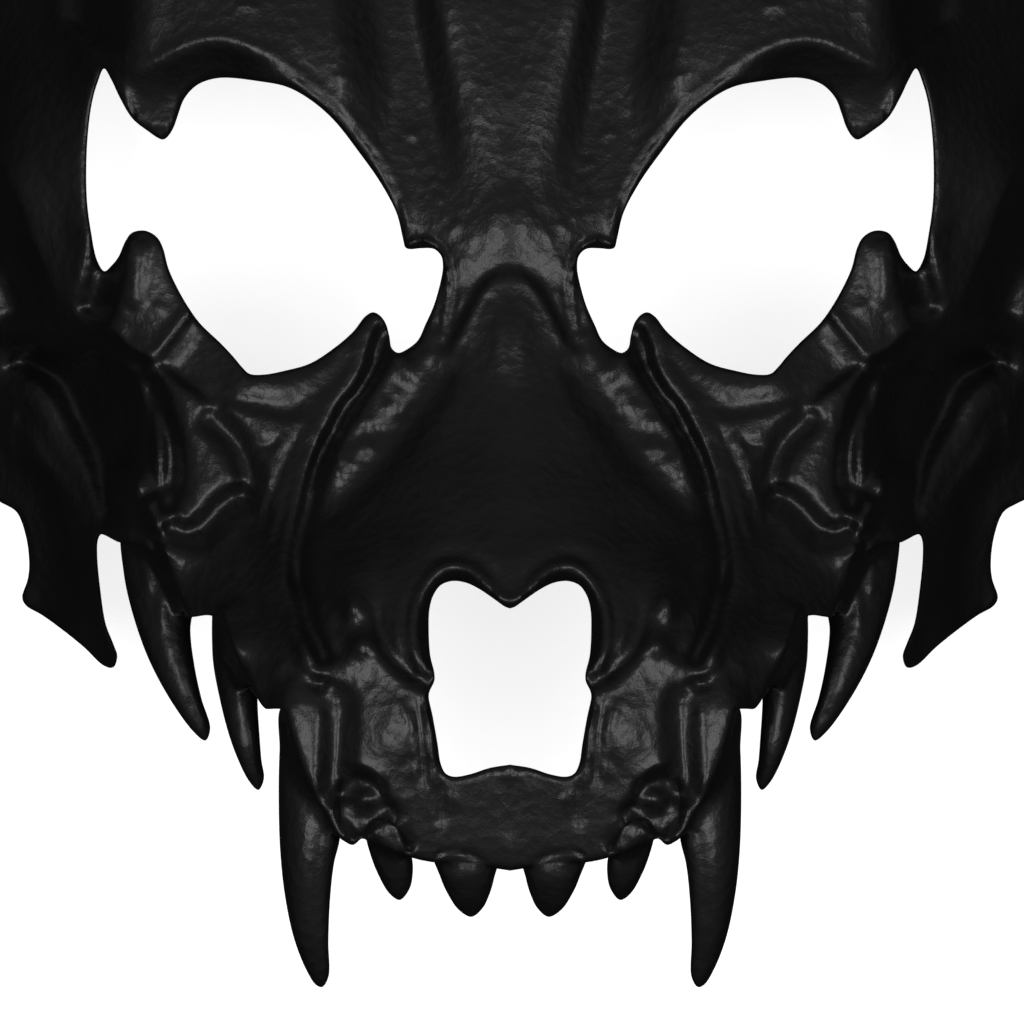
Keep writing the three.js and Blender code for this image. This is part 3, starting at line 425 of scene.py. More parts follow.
def carve_cheek(face):
    face.along([(17, 0.4), (17.4, -1.6), (18, -3.6), (18.7, -6.1), (20, -8.5), (21.6, -10.4), (23, -13), (24.5, -16),
                (25.6, -19), (26.4, -22), (27.1, -25), (27.8, -28), (28.1, -31), (27.9, -34), (27, -36.6)],
               [(-4.4, 0), (-3, -0.6), (-1.8, -2.1), (-1, -1.5), (0, 0.4), (0.9, 0.5), (2.2, 0.1), (4, 0)],
               fade=(0.06, 0.15))
    face.along([(14.9, -4.6), (16, -6.6), (17, -8.6), (18.3, -10.4), (19.8, -11.8), (20.7, -13.6), (21.5, -15.6),
                (22.3, -17.6)],
               [(-1.5, 0), (-0.6, -0.1), (0, 0.4), (0.7, -0.2), (1.4, 0)], fade=(0.08, 0.3))
    face.along([(11.8, -3.6), (13.6, -7), (16, -10.6), (18.2, -13.8), (20, -17.2), (21.8, -20.8), (23.6, -24.4)],
               [(-3.4, 0), (-2.4, 0.1), (0, 1.3), (1.7, 2.3), (2.9, 0)], fade=(0.12, 0.3))
    for x, y, wide, tall, height, turn in (
            (12.6, -6.9, 1.4, 2.1, 0.9, -15), (15.4, -11.3, 0.9, 1.5, 0.5, 35), (18, -13, 0.9, 0.8, 0.45, 0),
            (17.8, -16.4, 1.4, 1.5, 0.7, 0), (21.3, -17, 0.5, 1.5, 0.5, -25), (21.4, -19.5, 0.9, 0.9, 0.45, 0),
            (14, -9.6, 0.7, 0.7, 0.35, 0), (19.5, -15.4, 0.7, 1.2, -0.5, 20), (16.4, -14, 0.8, 0.7, -0.45, 0),
            (19.7, -18.3, 0.9, 0.5, 0.45, 20), (13.6, -12.2, 0.8, 0.6, -0.3, 0), (10.6, -5, 0.6, 1.2, 0.3, 20)):
        face.swell((x, y), (wide, tall), height, turn)
    face.ridge([(22.2, -21), (23.3, -22.4), (24.3, -24.2)], 0.9, 0.5)
    face.along([(19.2, -2.2), (20.4, -4.8), (22, -6.9), (24.2, -8.4), (27, -9.5), (30, -10), (33, -10), (36.4, -9.6)],
               [(-2.4, 0), (-0.9, -0.12), (0.9, 0.12), (2.6, 0)], fade=(0.15, 0.2))
    for wrinkle in ([(21, -4.2), (23.5, -6.4), (26.5, -7.8), (30, -8.7)], [(24.5, -7.2), (27, -8.6), (29.2, -9.3)],
                    [(18.4, 0), (20.6, -3.2), (23.2, -5.2)]):
        face.ridge(wrinkle, 1.3, 0.08)
    face.along([(24.4, -11.3), (26, -12.3), (28, -13), (30.5, -12.4), (33.5, -11.6), (36.5, -11.1), (38.4, -10.9)],
               [(-4.5, 0), (-1.6, 0.25), (-0.3, 0.3), (1.2, -0.4), (3.4, 0)], fade=(0.15, 0.1))
    for fold in ([(26, -13), (27.2, -16), (28.6, -19), (29.8, -22), (30.6, -25), (31, -28)],
                 [(24.6, -14), (26.4, -17.6), (27.6, -21), (28.4, -24), (29, -27), (29.4, -30)],
                 [(28.8, -14.8), (30.2, -16), (32, -15.5)]):
        face.groove(fold, 1.1, 0.7)
    for rib in ([(25.8, -16), (27.2, -19.4), (28.2, -22.6), (29.4, -26), (30.8, -29)],
                [(28.6, -17), (30, -20.6), (31, -24), (31.6, -27.6)], [(28, -14.4), (29.2, -17), (30.6, -19.4)]):
        face.ridge(rib, 1.1, 0.5)
    face.along([(38.4, -11), (36.6, -13), (34.6, -15), (33.2, -17.4), (32.5, -20), (32.1, -23), (32, -26),
                (32.4, -29)],
               [(-2.6, 0), (-1, -1), (0, -1.7), (1, -1.4), (3, 0)], fade=(0.08, 0.2))
    face.within([(38.7, -9), (41, -8.2), (44.3, -7.2), (43.2, -10), (42.1, -13), (41.3, -16), (41, -19),
                 (41.3, -22), (42, -24.6), (40.6, -26), (38.8, -25), (37, -23.1), (35, -21.6), (33.2, -21),
                 (33.8, -18.8), (35, -16.4), (37, -14.2), (38.3, -12.4), (38.8, -10.6)],
                [(-1.1, 0), (0.4, 0.5), (1.8, 0.9)])
    face.ridge([(36.4, -17), (37.6, -16.2), (39, -16)], 0.8, -0.3)
    face.along([(32.4, -21.5), (34.6, -22), (36.4, -23.2), (37.9, -24.9), (39.4, -26.2), (41.2, -26.4), (42.6, -25)],
               [(-3.6, 0), (-1.9, -1.4), (-0.5, -2.3), (0.5, -1.3), (1.4, 0)], fade=(0.06, 0.08))
    face.along([(44.8, -6.6), (43.8, -9.6), (42.8, -12.8), (41.9, -16), (41.7, -19), (42, -22), (42.5, -24.8)],
               [(-1, 0), (0, -1.7), (0.8, -1.9), (1.8, -0.5), (2.6, 0)], fade=(0.06, 0.06))
    face.swell((43.9, -17.4), (1.1, 4.4), 1.2, turn=4)
    face.groove([(45.2, -7), (45.3, -12), (45.2, -17.5), (44.6, -20.4), (43.6, -22.6), (42.7, -24.6)], 1.2, 0.9)
    face.swell((46.6, -21.2), (1.5, 2.6), 2.6, turn=12)
    face.along([(39.6, 1.6), (40.6, 0.2), (41.6, -1.2), (42.8, -2.7), (44, -4.3), (45, -5.6)],
               [(-12, 0), (-7, -1.5), (-3.5, -2), (-0.9, -0.8), (0, 0.6), (0.7, 0.3), (1.8, 0)], fade=(0, 0.1))
    face.along([(44.8, -5), (46.4, -4.4), (48, -3.6), (49.2, -2.4), (50.4, -1.6), (51.6, -2.2)],
               [(-2.8, 0), (-1.1, -1.5), (-0.3, 0), (0.2, 0.8), (0.7, 0.5), (1.7, 0)], fade=(0.05, 0.1))
    face.ridge([(46.2, 10.4), (46.4, 7), (46.8, 4), (47.3, 0.6)], 4.4, 0.7)
    for x, y, wide, tall, height, turn in (
            (44.2, 1.3, 1.4, 0.8, 0.4, 15), (44.9, -5.1, 0.7, 0.8, 0.6, 0), (46, -2.9, 0.9, 0.4, 0.4, 30),
            (45.8, 2.6, 0.7, 0.5, 0.25, 0), (45.4, -9.8, 0.4, 0.8, 0.8, 0), (47.9, -6.1, 0.9, 0.4, 0.8, 25)):
        face.swell((x, y), (wide, tall), height, turn)


def carve_snout(face):
    """The deep fold below the ridge and the lumps on both sides of it."""
    face.along([(26.7, -30), (26.3, -33), (25.5, -36), (24.9, -38.6), (23.9, -41), (22.5, -43.6)],
               [(-1.8, 0), (-0.3, -2), (0.3, -2), (1.5, 0)], fade=(0.25, 0.08))
    face.swell((23.6, -45.7), (1.5, 0.8), -2.2)
    face.swell((25.4, -41.4), (3.1, 1.4), 1.7, turn=59)
    face.ridge([(22.9, -44.4), (25, -44), (26.7, -42.3)], 0.9, 0.6)
    for streak in ([(21.4, -32.6), (22.6, -34.6), (23.9, -37)], [(20.7, -34.2), (21.8, -35.9), (22.8, -37.7)],
                   [(26.1, -36.8), (27.4, -37.9), (28.7, -38.8)], [(26.5, -38.2), (27.8, -39.5)],
                   [(27.8, -42.6), (28.8, -43.8), (29.7, -45)]):
        face.ridge(streak, 1.2, 0.5)
    for x, y, wide, tall, height in (
            (20, -33, 4, 5, 2), (19.6, -36, 2, 2.6, 2.4), (18.4, -40.8, 2, 2, 1.8), (21.2, -41.5, 1.2, 1.1, -0.7),
            (24.5, -31, 0.8, 0.9, 0.6), (21.2, -38.6, 0.8, 0.6, -0.4), (20.4, -43.4, 1, 0.6, 0.35),
            (17.8, -45.2, 0.8, 0.5, -0.45), (15.2, -36.6, 0.6, 0.8, 0.35)):
        face.swell((x, y), (wide, tall), height)


def carve_roots(face):
    """The roots of the side teeth, which show through the bone as narrow leaves."""
    face.along([(44.6, -21.6), (43.4, -24.4), (42.2, -27), (41, -29.8), (39.9, -33)],
               [(-3, 0), (-2.3, 0.7), (0, 2.6), (1.6, 3.8), (2.7, 0)], fade=(0.1, 0.5))
    for rib in ([(45.4, -27.4), (45.3, -31), (45.3, -35.4)], [(43.2, -32.2), (43.4, -35), (43.6, -39)]):
        face.ridge(rib, 1.8, 0.5)
    face.ridge([(44.3, -22), (43.9, -24.6), (44.1, -27)], 1, 0.4)
    face.along([(34.8, -35.4), (34.2, -38), (33.2, -41), (32, -44.2)],
               [(-2.5, 0), (-1.8, 0.7), (0, 2.2), (1.2, 3.2), (2.1, 0)], fade=(0.1, 0.5))
    for x, y, wide, tall in ((36.6, -28, 0.9, 0.5), (34, -31, 1.4, 1.2), (30.4, -33.6, 0.8, 1.2)):
        face.swell((x, y), (wide, tall), 0.3)


def carve_jaw(face):
    face.swell((13, -51.5), (5, 7), 1.4)
    face.ridge([(10.7, -46.6), (10.2, -50), (9.8, -53), (9.6, -56), (9.4, -59.6)], 1.2, 0.6)
    face.groove([(11.9, -46.6), (11.4, -49.5), (11, -53), (10.7, -56.6), (10.5, -59.2)], 1.4, 0.6)
    for wrinkle, height in (
            ([(13.8, -47.2), (12.8, -49.6), (11.9, -52.4)], 0.3), ([(14.3, -49), (12.9, -51.6)], -0.25),
            ([(13.6, -51.2), (15, -52.6)], -0.25), ([(12, -54.6), (13.4, -56)], -0.2),
            ([(11.4, -57.6), (12.6, -55.4)], 0.2), ([(15.4, -58), (17, -56.5), (19, -55.6), (20.9, -56)], 0.35)):
        face.ridge(wrinkle, 1.2, height)
    face.along([(21.8, -44.6), (21.3, -48.6), (21.4, -53), (21.7, -57), (22, -61.6)],
               [(-3, 0), (-1, -1.3), (0, -1.8), (1, -1.2), (2.6, 0)], fade=(0.2, 0.15))
    face.within([(26.8, -44.6), (28, -46.6), (28.1, -49.4), (26.8, -52.8), (25.6, -56), (24.4, -58.8), (23.6, -58.6),
                 (22.9, -55.6), (22.8, -52), (23.2, -49), (24.6, -46.6)],
                [(-1, 0), (0, 0.3), (1, 0.6), (2.4, 0.7)])
    face.along([(25.6, -43.6), (25.4, -48), (25, -53), (24.4, -58), (23.6, -62)],
               [(-2.6, 0), (0, 0.6), (3, 1.7), (5, 0)], fade=(0.3, 0.15))
    face.within([(15, -60), (15.8, -58), (17.4, -56.8), (19.4, -56.2), (20.9, -57.2), (21.8, -59.6), (21.6, -62.4),
                 (20.8, -64), (18.6, -64.8), (16.6, -63.4), (15, -62.6), (13.6, -63), (14, -61.4)],
                [(-0.4, 0), (0, -0.5), (0.9, -2.4), (1.6, -2.6)])
    for x, y, wide, tall, height, turn in (
            (17.8, -60, 2.1, 1.7, 1.9, -20), (16.6, -60.3, 1, 0.6, 0.4, -30), (19.3, -60.2, 0.9, 1.1, 0.4, 0),
            (17.6, -61.5, 1.5, 0.5, 0.3, 0), (20.1, -62.8, 0.9, 1.6, 1.2, 0), (14.6, -61.5, 0.8, 0.9, -0.9, 0),
            (16.4, -63.8, 0.8, 1.4, 0.9, 0), (15.6, -65, 0.5, 1.1, 0.4, -10), (14.3, -66.4, 0.5, 0.9, 0.3, 0),
            (7.1, -60, 1, 1, 0.4, 0), (7.7, -58.5, 0.5, 0.5, 0.35, 0), (12.8, -59.9, 1, 1, 0.35, 0)):
        face.swell((x, y), (wide, tall), height, turn)
    face.groove([(12.3, -67), (12.9, -64.8), (13.8, -63), (15.4, -62.3)], 1.4, 1.2)
    face.groove([(8.6, -57.2), (8.5, -60), (8.6, -63.8)], 1.1, 0.7)
    face.groove([(0, -55.6), (0, -60), (0, -66)], 1.1, 0.5)
    for y in (-57.2, -58.7, -60.1, -61.5, -62.9, -64.3, -65.7):
        face.swell((0.95, y), (0.5, 0.6), 0.4)
    face.groove([(2.6, -68.4), (4.2, -67.3), (6.4, -66.6), (8.4, -66.6), (9.8, -67.6)], 1, 0.5)


def carve_blade(face):
    face.along([(61.8, -12), (60.8, -15), (59.4, -17.6), (57.5, -19.8), (56.2, -22), (55.1, -25), (54.3, -28),
                (53.9, -31), (53.5, -34), (52.9, -37), (52.2, -39.8), (50.8, -42.6)],
               [(-5, 0), (-2, 0.3), (-0.3, 1.3), (0.3, 1.1), (1.3, -1.4), (3, -2.4), (6, -1.6), (9, 0)],
               fade=(0.2, 0.06))
    face.ridge([(62.4, -11), (62.9, -13.6), (62.9, -16), (61.8, -18.6)], 1.4, 0.9)


def dent_softly(face):
    """The leathery unevenness of a hand-modelled master, strongest on the brow, the cheek and the snout."""
    rough = np.full(len(face.at), LEAST_DENTS)
    for centre, radii in (((8, 14), (8, 8)), ((16, -12), (8, 8)), ((29, -16), (5, 5)),
                          ((20, -38), (6, 6)), ((57, 10), (6, 12))):
        reach = ((face.at - np.array(centre)) / np.array(radii)) ** 2
        rough = np.maximum(rough, LEAST_DENTS + (1 - LEAST_DENTS) * ease(1.6 - reach.sum(axis=1)))
    for i, (x, y) in enumerate(face.at):
        place = Vector((x, y, 0))
        face.z[i] += (0.08 * noise.noise(place * 0.19)
                      + rough[i] * (0.08 * noise.noise(place * 0.5 + Vector((9, 3, 5)))
                                    + 0.03 * noise.noise(place * 1.15 + Vector((2, 7, 1)))))


def carved(at):
    face = Relief(at)
    for carve in (carve_falls, carve_forehead, carve_brow, carve_nose, carve_cheek, carve_snout, carve_roots,
                  carve_jaw, carve_blade, dent_softly):
        carve(face)
    return face


def front_height(at):
    return carved(at).z


def crease_points(free):
    """Points along everything carved, no two of them close together, where free says there is room."""
    creases = carved(np.zeros((1, 2))).creases
    rows = np.vstack([points for _, points in sorted(creases, key=lambda crease: crease[0])])
    rows = rows[(rows[:, 0] > CREASE_GAP) & (rows[:, 0] < FINE_AREA[0]) & (rows[:, 1] < FINE_AREA[1])]
    rows = rows[free(rows)]
    taken = {}
    kept = []
    for point in rows.tolist():
        cell = (int(point[0] / CREASE_GAP), int(point[1] // CREASE_GAP))
        beside = (taken.get((cell[0] + i, cell[1] + j)) for i in (-1, 0, 1) for j in (-1, 0, 1))
        if all(p is None or (p[0] - point[0]) ** 2 + (p[1] - point[1]) ** 2 > CREASE_GAP ** 2 for p in beside):
            taken[cell] = point
            kept.append(point)
    return np.array(kept)


def back_height(at, front):
    """The inner surface, as far under the form as the wall is thick, square to it."""
    lowest = front - THINNEST
    for ring in (0, 0.55, 0.9):
        for turn in np.arange(0, 2 * np.pi, np.pi / 4) if ring else (0,):
            moved = at + ring * WALL * np.array([cos(turn), sin(turn)])
            mould = Relief(moved)
            carve_falls(mould)
            lowest = np.minimum(lowest, mould.z - WALL * (1 - ring * ring) ** 0.5)
    return np.maximum(lowest, 0)


class Tooth:
    """One tooth, seen from the front as a curved blade and rounded over its width."""

    def __init__(self, inner, outer, tip, heights, depth, lean):
        sides = [smooth_line(inner), smooth_line(outer)]
        places = np.linspace(0, 1, 24)
        inner_side, outer_side = (
            np.stack([np.interp(places, np.linspace(0, 1, len(s)), s[:, k]) for k in (0, 1)], axis=1) for s in sides)
        self.loop = smooth_line([*inner, tip, *outer[::-1]], closed=True)
        self.middle = np.vstack([(inner_side + outer_side) / 2, [tip]])
        self.half_widths = np.append(np.hypot(*(inner_side - outer_side).T) / 2, TOOTH_TIP)
        steps = np.hypot(*np.diff(self.middle, axis=0).T)
        self.places = np.concatenate([[0], np.cumsum(steps)]) / steps.sum()
        self.heights = np.array(heights, float)
        self.depth = depth
        self.lean = lean

    def faces(self, at):
        """Front and back heights, and the distance inside the outline. The roots' carving runs over the teeth."""
        relief = Relief(at)
        smooth = relief.z.copy()
        carve_roots(relief)
        inside = depth_inside(at, self.loop)
        away, place, side = nearest(at, self.middle)
        half = np.interp(place, self.places, self.half_widths)
        knots = np.linspace(0, 1, len(self.heights))
        middle = curve_at(knots, self.heights, curve_slopes(knots, self.heights), place) - self.lean * away * side
        round_over = np.sqrt(np.clip(1 - np.clip(1 - inside / half, 0, 1) ** 2, 0, 1))
        swelling = TOOTH_EDGE + self.depth * half * round_over
        return middle + swelling + relief.z - smooth, middle - swelling, inside


bone_half = smooth_line(BONE_OUTLINE)
nose_half = smooth_line(NOSE_OUTLINE)
eye_loop = smooth_line(EYE_OUTLINE, closed=True)
teeth = [Tooth(**sizes) for sizes in TEETH.values()]


def mirrored(half):
    """The whole closed line from a half whose ends are on the midline."""
    return np.vstack([half, (half[1:-1] * (-1, 1))[::-1]])


bone_loop = mirrored(bone_half)
nose_loop = mirrored(nose_half)


def bone_depth(at):
    """Distance inside the bone, away from its outline and from the eye and nose openings."""
    return np.minimum(depth_inside(at, bone_loop),
                      np.minimum(-depth_inside(at, eye_loop), -depth_inside(at, nose_loop)))


def is_solid(at):
    solid = is_inside(at, bone_loop) & ~is_inside(at, eye_loop) & ~is_inside(at, nose_loop)
    for tooth in teeth:
        solid |= is_inside(at, tooth.loop)
    return solid


def both_faces(at):
    """Heights of the front and the back of the whole casting at points inside its outline."""
    front = front_height(at)
    back = back_height(at, front)
    depth = bone_depth(at)
    rounding = np.minimum(EDGE_ROUNDING, 0.5 * (front - back))
    edge = np.clip(1 - depth / EDGE_ROUNDING, 0, 1)
    front = front - rounding * (1 - np.sqrt(1 - edge ** 2))
    bone = depth >= -ON_EDGE
    front = np.where(bone, front, -NOTHING)
    back = np.where(bone, back, NOTHING)
    for tooth in teeth:
        tooth_front, tooth_back, inside = tooth.faces(at)
        here = inside >= -ON_EDGE
        share = np.clip(0.5 + 0.5 * (tooth_front - front) / GUM_BLEND, 0, 1)
        blended = front * (1 - share) + tooth_front * share + GUM_BLEND * share * (1 - share)
        front = np.where(here, np.where(bone, blended, np.maximum(front, tooth_front)), front)
        back = np.where(here, np.minimum(back, tooth_back), back)
    return front, back


def lattice(low, high, step):
    rows = np.arange(low[1], high[1], step * 0.866)
    shifts = np.arange(len(rows)) % 2 * step / 2
    return np.vstack([np.stack([np.arange(low[0], high[0], step) + shift, np.full(
        len(np.arange(low[0], high[0], step)), y)], axis=1) for y, shift in zip(rows, shifts)])


def edge_points(loop, turn, closed):
    """Rows of points close inside a line, which round its edge over."""
    ahead = np.roll(loop, -1, axis=0) - np.roll(loop, 1, axis=0)
    if not closed:
        ahead[0], ahead[-1] = loop[1] - loop[0], loop[-1] - loop[-2]
    ahead /= np.hypot(ahead[:, 0], ahead[:, 1])[:, None]
    inward = np.stack([-ahead[:, 1], ahead[:, 0]], axis=1) * turn
    rows = []
    for ring in EDGE_RINGS:
        points = loop + inward * ring
        distance, _, _ = nearest(points, loop, closed)
        rows.append(points[distance > 0.93 * ring])
    return np.vstack(rows)


def is_leftward(loop):
    x, y = loop.T
    return (x * np.roll(y, -1) - np.roll(x, -1) * y).sum() > 0


def flat_mesh(points, chains):
    """Triangles of the half outline through all the points, with every chain of points as edges."""
    edges = []
    vertices = list(map(tuple, points))
    for chain, closed in chains:
        first = len(vertices)
        vertices += map(tuple, chain)
        count = len(chain)
        edges += [(first + i, first + (i + 1) % count) for i in range(count if closed else count - 1)]
    found, _, faces, _, _, _ = delaunay_2d_cdt([Vector(v) for v in vertices], edges, [], 0, 1e-5)
    at = np.array([tuple(v) for v in found])
    faces = np.array(faces)
    kept = is_solid(at[faces].mean(axis=1))
    kept &= at[faces].mean(axis=1)[:, 0] > 0
    faces = faces[kept]
    used = np.unique(faces)
    renumber = np.full(len(at), -1)
    renumber[used] = np.arange(len(used))
    return at[used], renumber[faces]


def outer_edges(faces):
    """Edges that only one triangle has, in that triangle's direction."""
    edges = np.vstack([faces[:, [0, 1]], faces[:, [1, 2]], faces[:, [2, 0]]])
    keys = np.sort(edges, axis=1)
    _, first, counts = np.unique(keys, axis=0, return_index=True, return_counts=True)
    return edges[first[counts == 1]]


def evened(at, faces, heights, loose):
    """Heights evened out between neighbours, where loose. A slope that is even already stays as it is."""
    first, second, weight = [], [], []
    for k in range(3):
        corner, i, j = faces[:, k], faces[:, (k + 1) % 3], faces[:, (k + 2) % 3]
        u, v = at[i] - at[corner], at[j] - at[corner]
        area = np.abs(u[:, 0] * v[:, 1] - u[:, 1] * v[:, 0]) + 1e-9
        pull = np.clip((u * v).sum(axis=1) / area, 0, 8)
        first += [i, j]
        second += [j, i]
        weight += [pull, pull]
    first, second, weight = np.concatenate(first), np.concatenate(second), np.concatenate(weight)
    total = np.bincount(first, weight, len(at)) + 1e-9
    for _ in range(EVENING_ROUNDS):
        change = np.bincount(first, weight * (heights[second] - heights[first]), len(at)) / total
        heights = heights + np.where(loose, 0.6 * change, 0)
    return heights


def half_casting():
    """Vertices and faces of the half with x above zero, open at the midline."""
    midline = [np.stack([np.zeros(n), np.linspace(a, b, n)], axis=1) for a, b, n in
               ((bone_half[-1, 1], nose_half[0, 1], FOREHEAD_POINTS),
                (nose_half[-1, 1], bone_half[0, 1], GUM_POINTS))]
    chains = [(bone_half, False), (nose_half, False), (eye_loop, True), *((t.loop, True) for t in teeth),
              *((line, False) for line in midline)]
    rows = [edge_points(bone_half, 1, False), edge_points(nose_half, 1, False),
            edge_points(eye_loop, -1 if is_leftward(eye_loop) else 1, True)]
    rows += [edge_points(t.loop, 1 if is_leftward(t.loop) else -1, True) for t in teeth]
    rings = np.vstack(rows)
    fine = lattice(HALF_LOW, FINE_AREA, FINE_STEP)
    plain = lattice(HALF_LOW, HALF_HIGH, PLAIN_STEP)
    plain = plain[(plain > FINE_AREA).any(axis=1)]
    spread = np.vstack([fine, plain])

    def gap_to_lines(points):
        return np.min([nearest(points, line, closed)[0] for line, closed in chains], axis=0)

    clear = EDGE_RINGS[-1] + CREASE_CLEARANCE
    creases = crease_points(lambda points: is_solid(points) & (gap_to_lines(points) > clear))
    tree = kdtree.KDTree(len(creases))
    for i, point in enumerate(creases):
        tree.insert((*point, 0), i)
    tree.balance()
    spread = spread[(gap_to_lines(spread) > EDGE_RINGS[-1] + SPREAD_CLEARANCE) & is_solid(spread)]
    spread = spread[[tree.find((*point, 0))[2] > 0.8 * FINE_STEP for point in spread]]
    rings = rings[(gap_to_lines(rings) > RING_GAP) & is_solid(rings) & (rings[:, 0] > 0.1)]
    at, faces = flat_mesh(np.vstack([spread, creases, rings]), chains)
    at[np.abs(at[:, 0]) < 1e-4, 0] = 0
    front, _ = both_faces(at)
    front = evened(at, faces, front, (gap_to_lines(at) > EDGE_RINGS[-1]) | (at[:, 0] == 0))

    rim = outer_edges(faces)
    rim_points = np.unique(rim)
    position = {v: i for i, v in enumerate(rim_points)}
    sparse = lattice((BACK_CLEARANCE, HALF_LOW[1]), HALF_HIGH, BACK_STEP)
    sparse = sparse[(gap_to_lines(sparse) > BACK_CLEARANCE) & is_solid(sparse)]
    rim_edges = [(position[a], position[b]) for a, b in rim]
    vertices = [Vector(p) for p in at[rim_points]] + [Vector(p) for p in sparse]
    found, _, back_faces, origins, _, _ = delaunay_2d_cdt(vertices, rim_edges, [], 0, 1e-5)
    back_at = np.array([tuple(v) for v in found])
    back_faces = np.array(back_faces)
    middles = back_at[back_faces].mean(axis=1)
    back_faces = back_faces[is_solid(middles) & (middles[:, 0] > 0)]
    _, back = both_faces(back_at)
    back_of = {}
    for i, sources in enumerate(origins):
        for source in sources:
            if source < len(rim_points):
                back_of[rim_points[source]] = i
    for vertex, i in back_of.items():
        back[i] = min(back[i], front[vertex] - 2 * TOOTH_EDGE)

    count = len(at)
    all_vertices = np.vstack([np.column_stack([at, front]), np.column_stack([back_at, back])])
    walls = []
    for a, b in rim:
        if at[a, 0] > 0 or at[b, 0] > 0:
            walls.append((b, a, count + back_of[a], count + back_of[b]))
    all_faces = [tuple(f) for f in faces.tolist()]
    all_faces += [tuple(f[::-1]) for f in (back_faces + count).tolist()]
    return all_vertices, all_faces + walls


def select_only(piece):
    bpy.ops.object.select_all(action="DESELECT")
    piece.select_set(True)
    bpy.context.view_layer.objects.active = piece


def cast_mask():
    vertices, faces = half_casting()
    mesh = bpy.data.meshes.new("skull_mask_casting")
    mesh.from_pydata((vertices * MM).tolist(), [], faces)
    mask = bpy.data.objects.new("skull_mask_casting", mesh)
    bpy.context.scene.collection.objects.link(mask)
    select_only(mask)
    halves = mask.modifiers.new("other half", "MIRROR")
    halves.use_axis = (True, False, False)
    halves.merge_threshold = 1e-6
    bpy.ops.object.modifier_apply(modifier=halves.name)
    bpy.ops.object.mode_set(mode="EDIT")
    bpy.ops.mesh.select_all(action="SELECT")
    bpy.ops.mesh.normals_make_consistent(inside=False)
    bpy.ops.object.mode_set(mode="OBJECT")
    bpy.ops.object.shade_smooth_by_angle(angle=radians(80))
    return mask


class Maths:
    """A number in a node tree, so that shader maths reads as plain arithmetic."""

    def __init__(self, tree, socket):
        self.tree = tree
        self.socket = socket

    def _with(self, operation, first, second):
        node = self.tree.nodes.new("ShaderNodeMath")
        node.operation = operation
        for slot, value in zip(node.inputs, (first, second)):
            if isinstance(value, Maths):
                self.tree.links.new(value.socket, slot)
            else:
                slot.default_value = value
        return Maths(self.tree, node.outputs[0])

    def __add__(self, other):
        return self._with("ADD", self, other)

    def __radd__(self, other):
        return self._with("ADD", other, self)

    def __rsub__(self, other):
        return self._with("SUBTRACT", other, self)

    def __mul__(self, other):
        return self._with("MULTIPLY", self, other)


class Nodes:
    """A node tree that is filled one node at a time."""

    def __init__(self, tree):
        self.tree = tree
        self.tree.nodes.clear()

    def add(self, kind, settings=None, output=0, **inputs):
        """Adds a node and returns one output. Inputs are named as on the node, with _ for a space."""
        node = self.tree.nodes.new(kind)
        for name, value in (settings or {}).items():
            setattr(node, name, value)
        for name, value in inputs.items():
            slot = next(s for s in node.inputs if s.name == name.replace("_", " ") and s.enabled)
            if isinstance(value, Maths):
                self.tree.links.new(value.socket, slot)
            else:
                slot.default_value = value
        return Maths(self.tree, node.outputs[output]) if node.outputs else node


def black_resin():
    """Satin black resin, with the fine grain of the mould and faintly uneven colour and gloss."""
    material = bpy.data.materials.new("black_resin")
    material.use_nodes = True
    nodes = Nodes(material.node_tree)
    place = nodes.add("ShaderNodeTexCoord", output=3)
    grain = nodes.add("ShaderNodeTexNoise", Vector=place, Scale=GRAIN_SCALE, Detail=4, Roughness=0.6)
    pits = nodes.add("ShaderNodeTexVoronoi", {"feature": "F1"}, Vector=place, Scale=PIT_SCALE)
    broad = nodes.add("ShaderNodeTexNoise", Vector=place, Scale=PATCH_SCALE, Detail=3, Roughness=0.55)
    relief = grain * 0.55 + pits * 0.45
    bump = nodes.add("ShaderNodeBump", Strength=0.6, Distance=GRAIN_DEPTH, Height=relief)
    colour = nodes.add("ShaderNodeMix", {"data_type": "RGBA"}, output=2, Factor=broad)
    mix = colour.socket.node
    mix.inputs[6].default_value = BLACK
    mix.inputs[7].default_value = WARM_BLACK
    roughness = SMOOTHEST + broad * 0.1 + grain * 0.06
    shader = nodes.add("ShaderNodeBsdfPrincipled", Base_Color=colour, Roughness=roughness, Normal=bump, IOR=1.46)
    nodes.add("ShaderNodeOutputMaterial", Surface=shader)
    return material


def pale_floor():
    """A white table that glows a little, like a light box."""
    bpy.ops.mesh.primitive_plane_add(size=FLOOR_SIZE, location=(0, 0, 0))
    floor = bpy.context.object
    floor.name = "floor"
    floor.visible_glossy = False
    floor.visible_diffuse = False
    material = bpy.data.materials.new("white_table")
    material.use_nodes = True
    nodes = Nodes(material.node_tree)
    shader = nodes.add("ShaderNodeBsdfPrincipled", Base_Color=FLOOR_PAINT, Roughness=FLOOR_ROUGHNESS,
                       Emission_Color=(1, 1, 1, 1), Emission_Strength=FLOOR_GLOW)
    nodes.add("ShaderNodeOutputMaterial", Surface=shader)
    floor.data.materials.append(material)


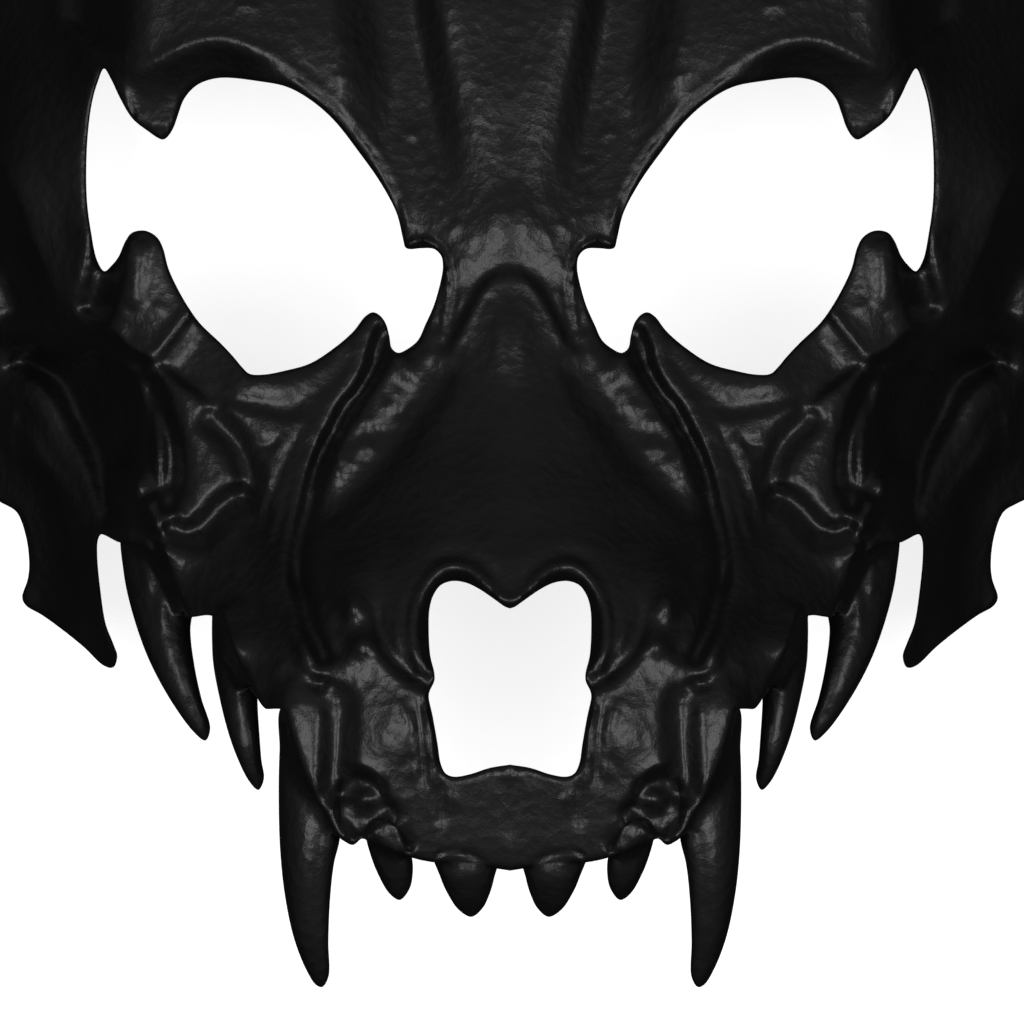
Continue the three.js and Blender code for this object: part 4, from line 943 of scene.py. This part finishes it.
def studio_light():
    """Two soft boxes left and right of the camera's line, and a weak wide light that leaves the sides dark."""
    world = bpy.data.worlds.new("studio")
    bpy.context.scene.world = world
    world.use_nodes = True
    nodes = Nodes(world.node_tree)
    direction = nodes.add("ShaderNodeTexCoord")
    facing = nodes.add("ShaderNodeVectorMath", {"operation": "DOT_PRODUCT"}, output=1)
    dot = facing.socket.node
    world.node_tree.links.new(direction.socket, dot.inputs[0])
    dot.inputs[1].default_value = Vector(FILL_FROM).normalized()
    lobe = nodes.add("ShaderNodeMapRange", {"interpolation_type": "SMOOTHSTEP"}, Value=facing,
                     From_Min=FILL_EDGES[0], From_Max=FILL_EDGES[1])
    seen = nodes.add("ShaderNodeLightPath")
    strength = lobe * FILL + LEAST_FILL
    shown = strength * (1 - seen) + seen * SEEN_BACKGROUND
    background = nodes.add("ShaderNodeBackground", Color=(1, 1, 1, 1), Strength=shown)
    nodes.add("ShaderNodeOutputWorld", Surface=background)

    for name, side in (("left_box", -1), ("right_box", 1)):
        across, up = radians(side * BOX_AZIMUTH), radians(BOX_ELEVATION)
        place = LIT_POINT + BOX_DISTANCE * Vector((sin(across) * cos(up), sin(up), cos(across) * cos(up)))
        bpy.ops.object.light_add(type="AREA", location=place)
        box = bpy.context.object
        box.name = name
        box.data.shape = "RECTANGLE"
        box.data.size, box.data.size_y = BOX_SIZE
        box.data.energy = BOX_POWER
        box.rotation_euler = (LIT_POINT - place).to_track_quat("-Z", "Y").to_euler()
        box.visible_camera = False


def straight_down_camera():
    bpy.ops.object.camera_add(location=(*VIEW_CENTRE, FACE_LEVEL + CAMERA_HEIGHT), rotation=(0, 0, 0))
    camera = bpy.context.object
    camera.data.sensor_width = SENSOR_WIDTH
    camera.data.lens = SENSOR_WIDTH * CAMERA_HEIGHT / VIEW_WIDTH
    camera.data.clip_start = CLIP_START
    camera.data.clip_end = CLIP_END
    bpy.context.scene.camera = camera


mask = cast_mask()
mask.data.materials.append(black_resin())
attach(mask, "root")
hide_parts("skull_mask")

pale_floor()
studio_light()
straight_down_camera()
bpy.context.scene.view_settings.view_transform = "Standard"
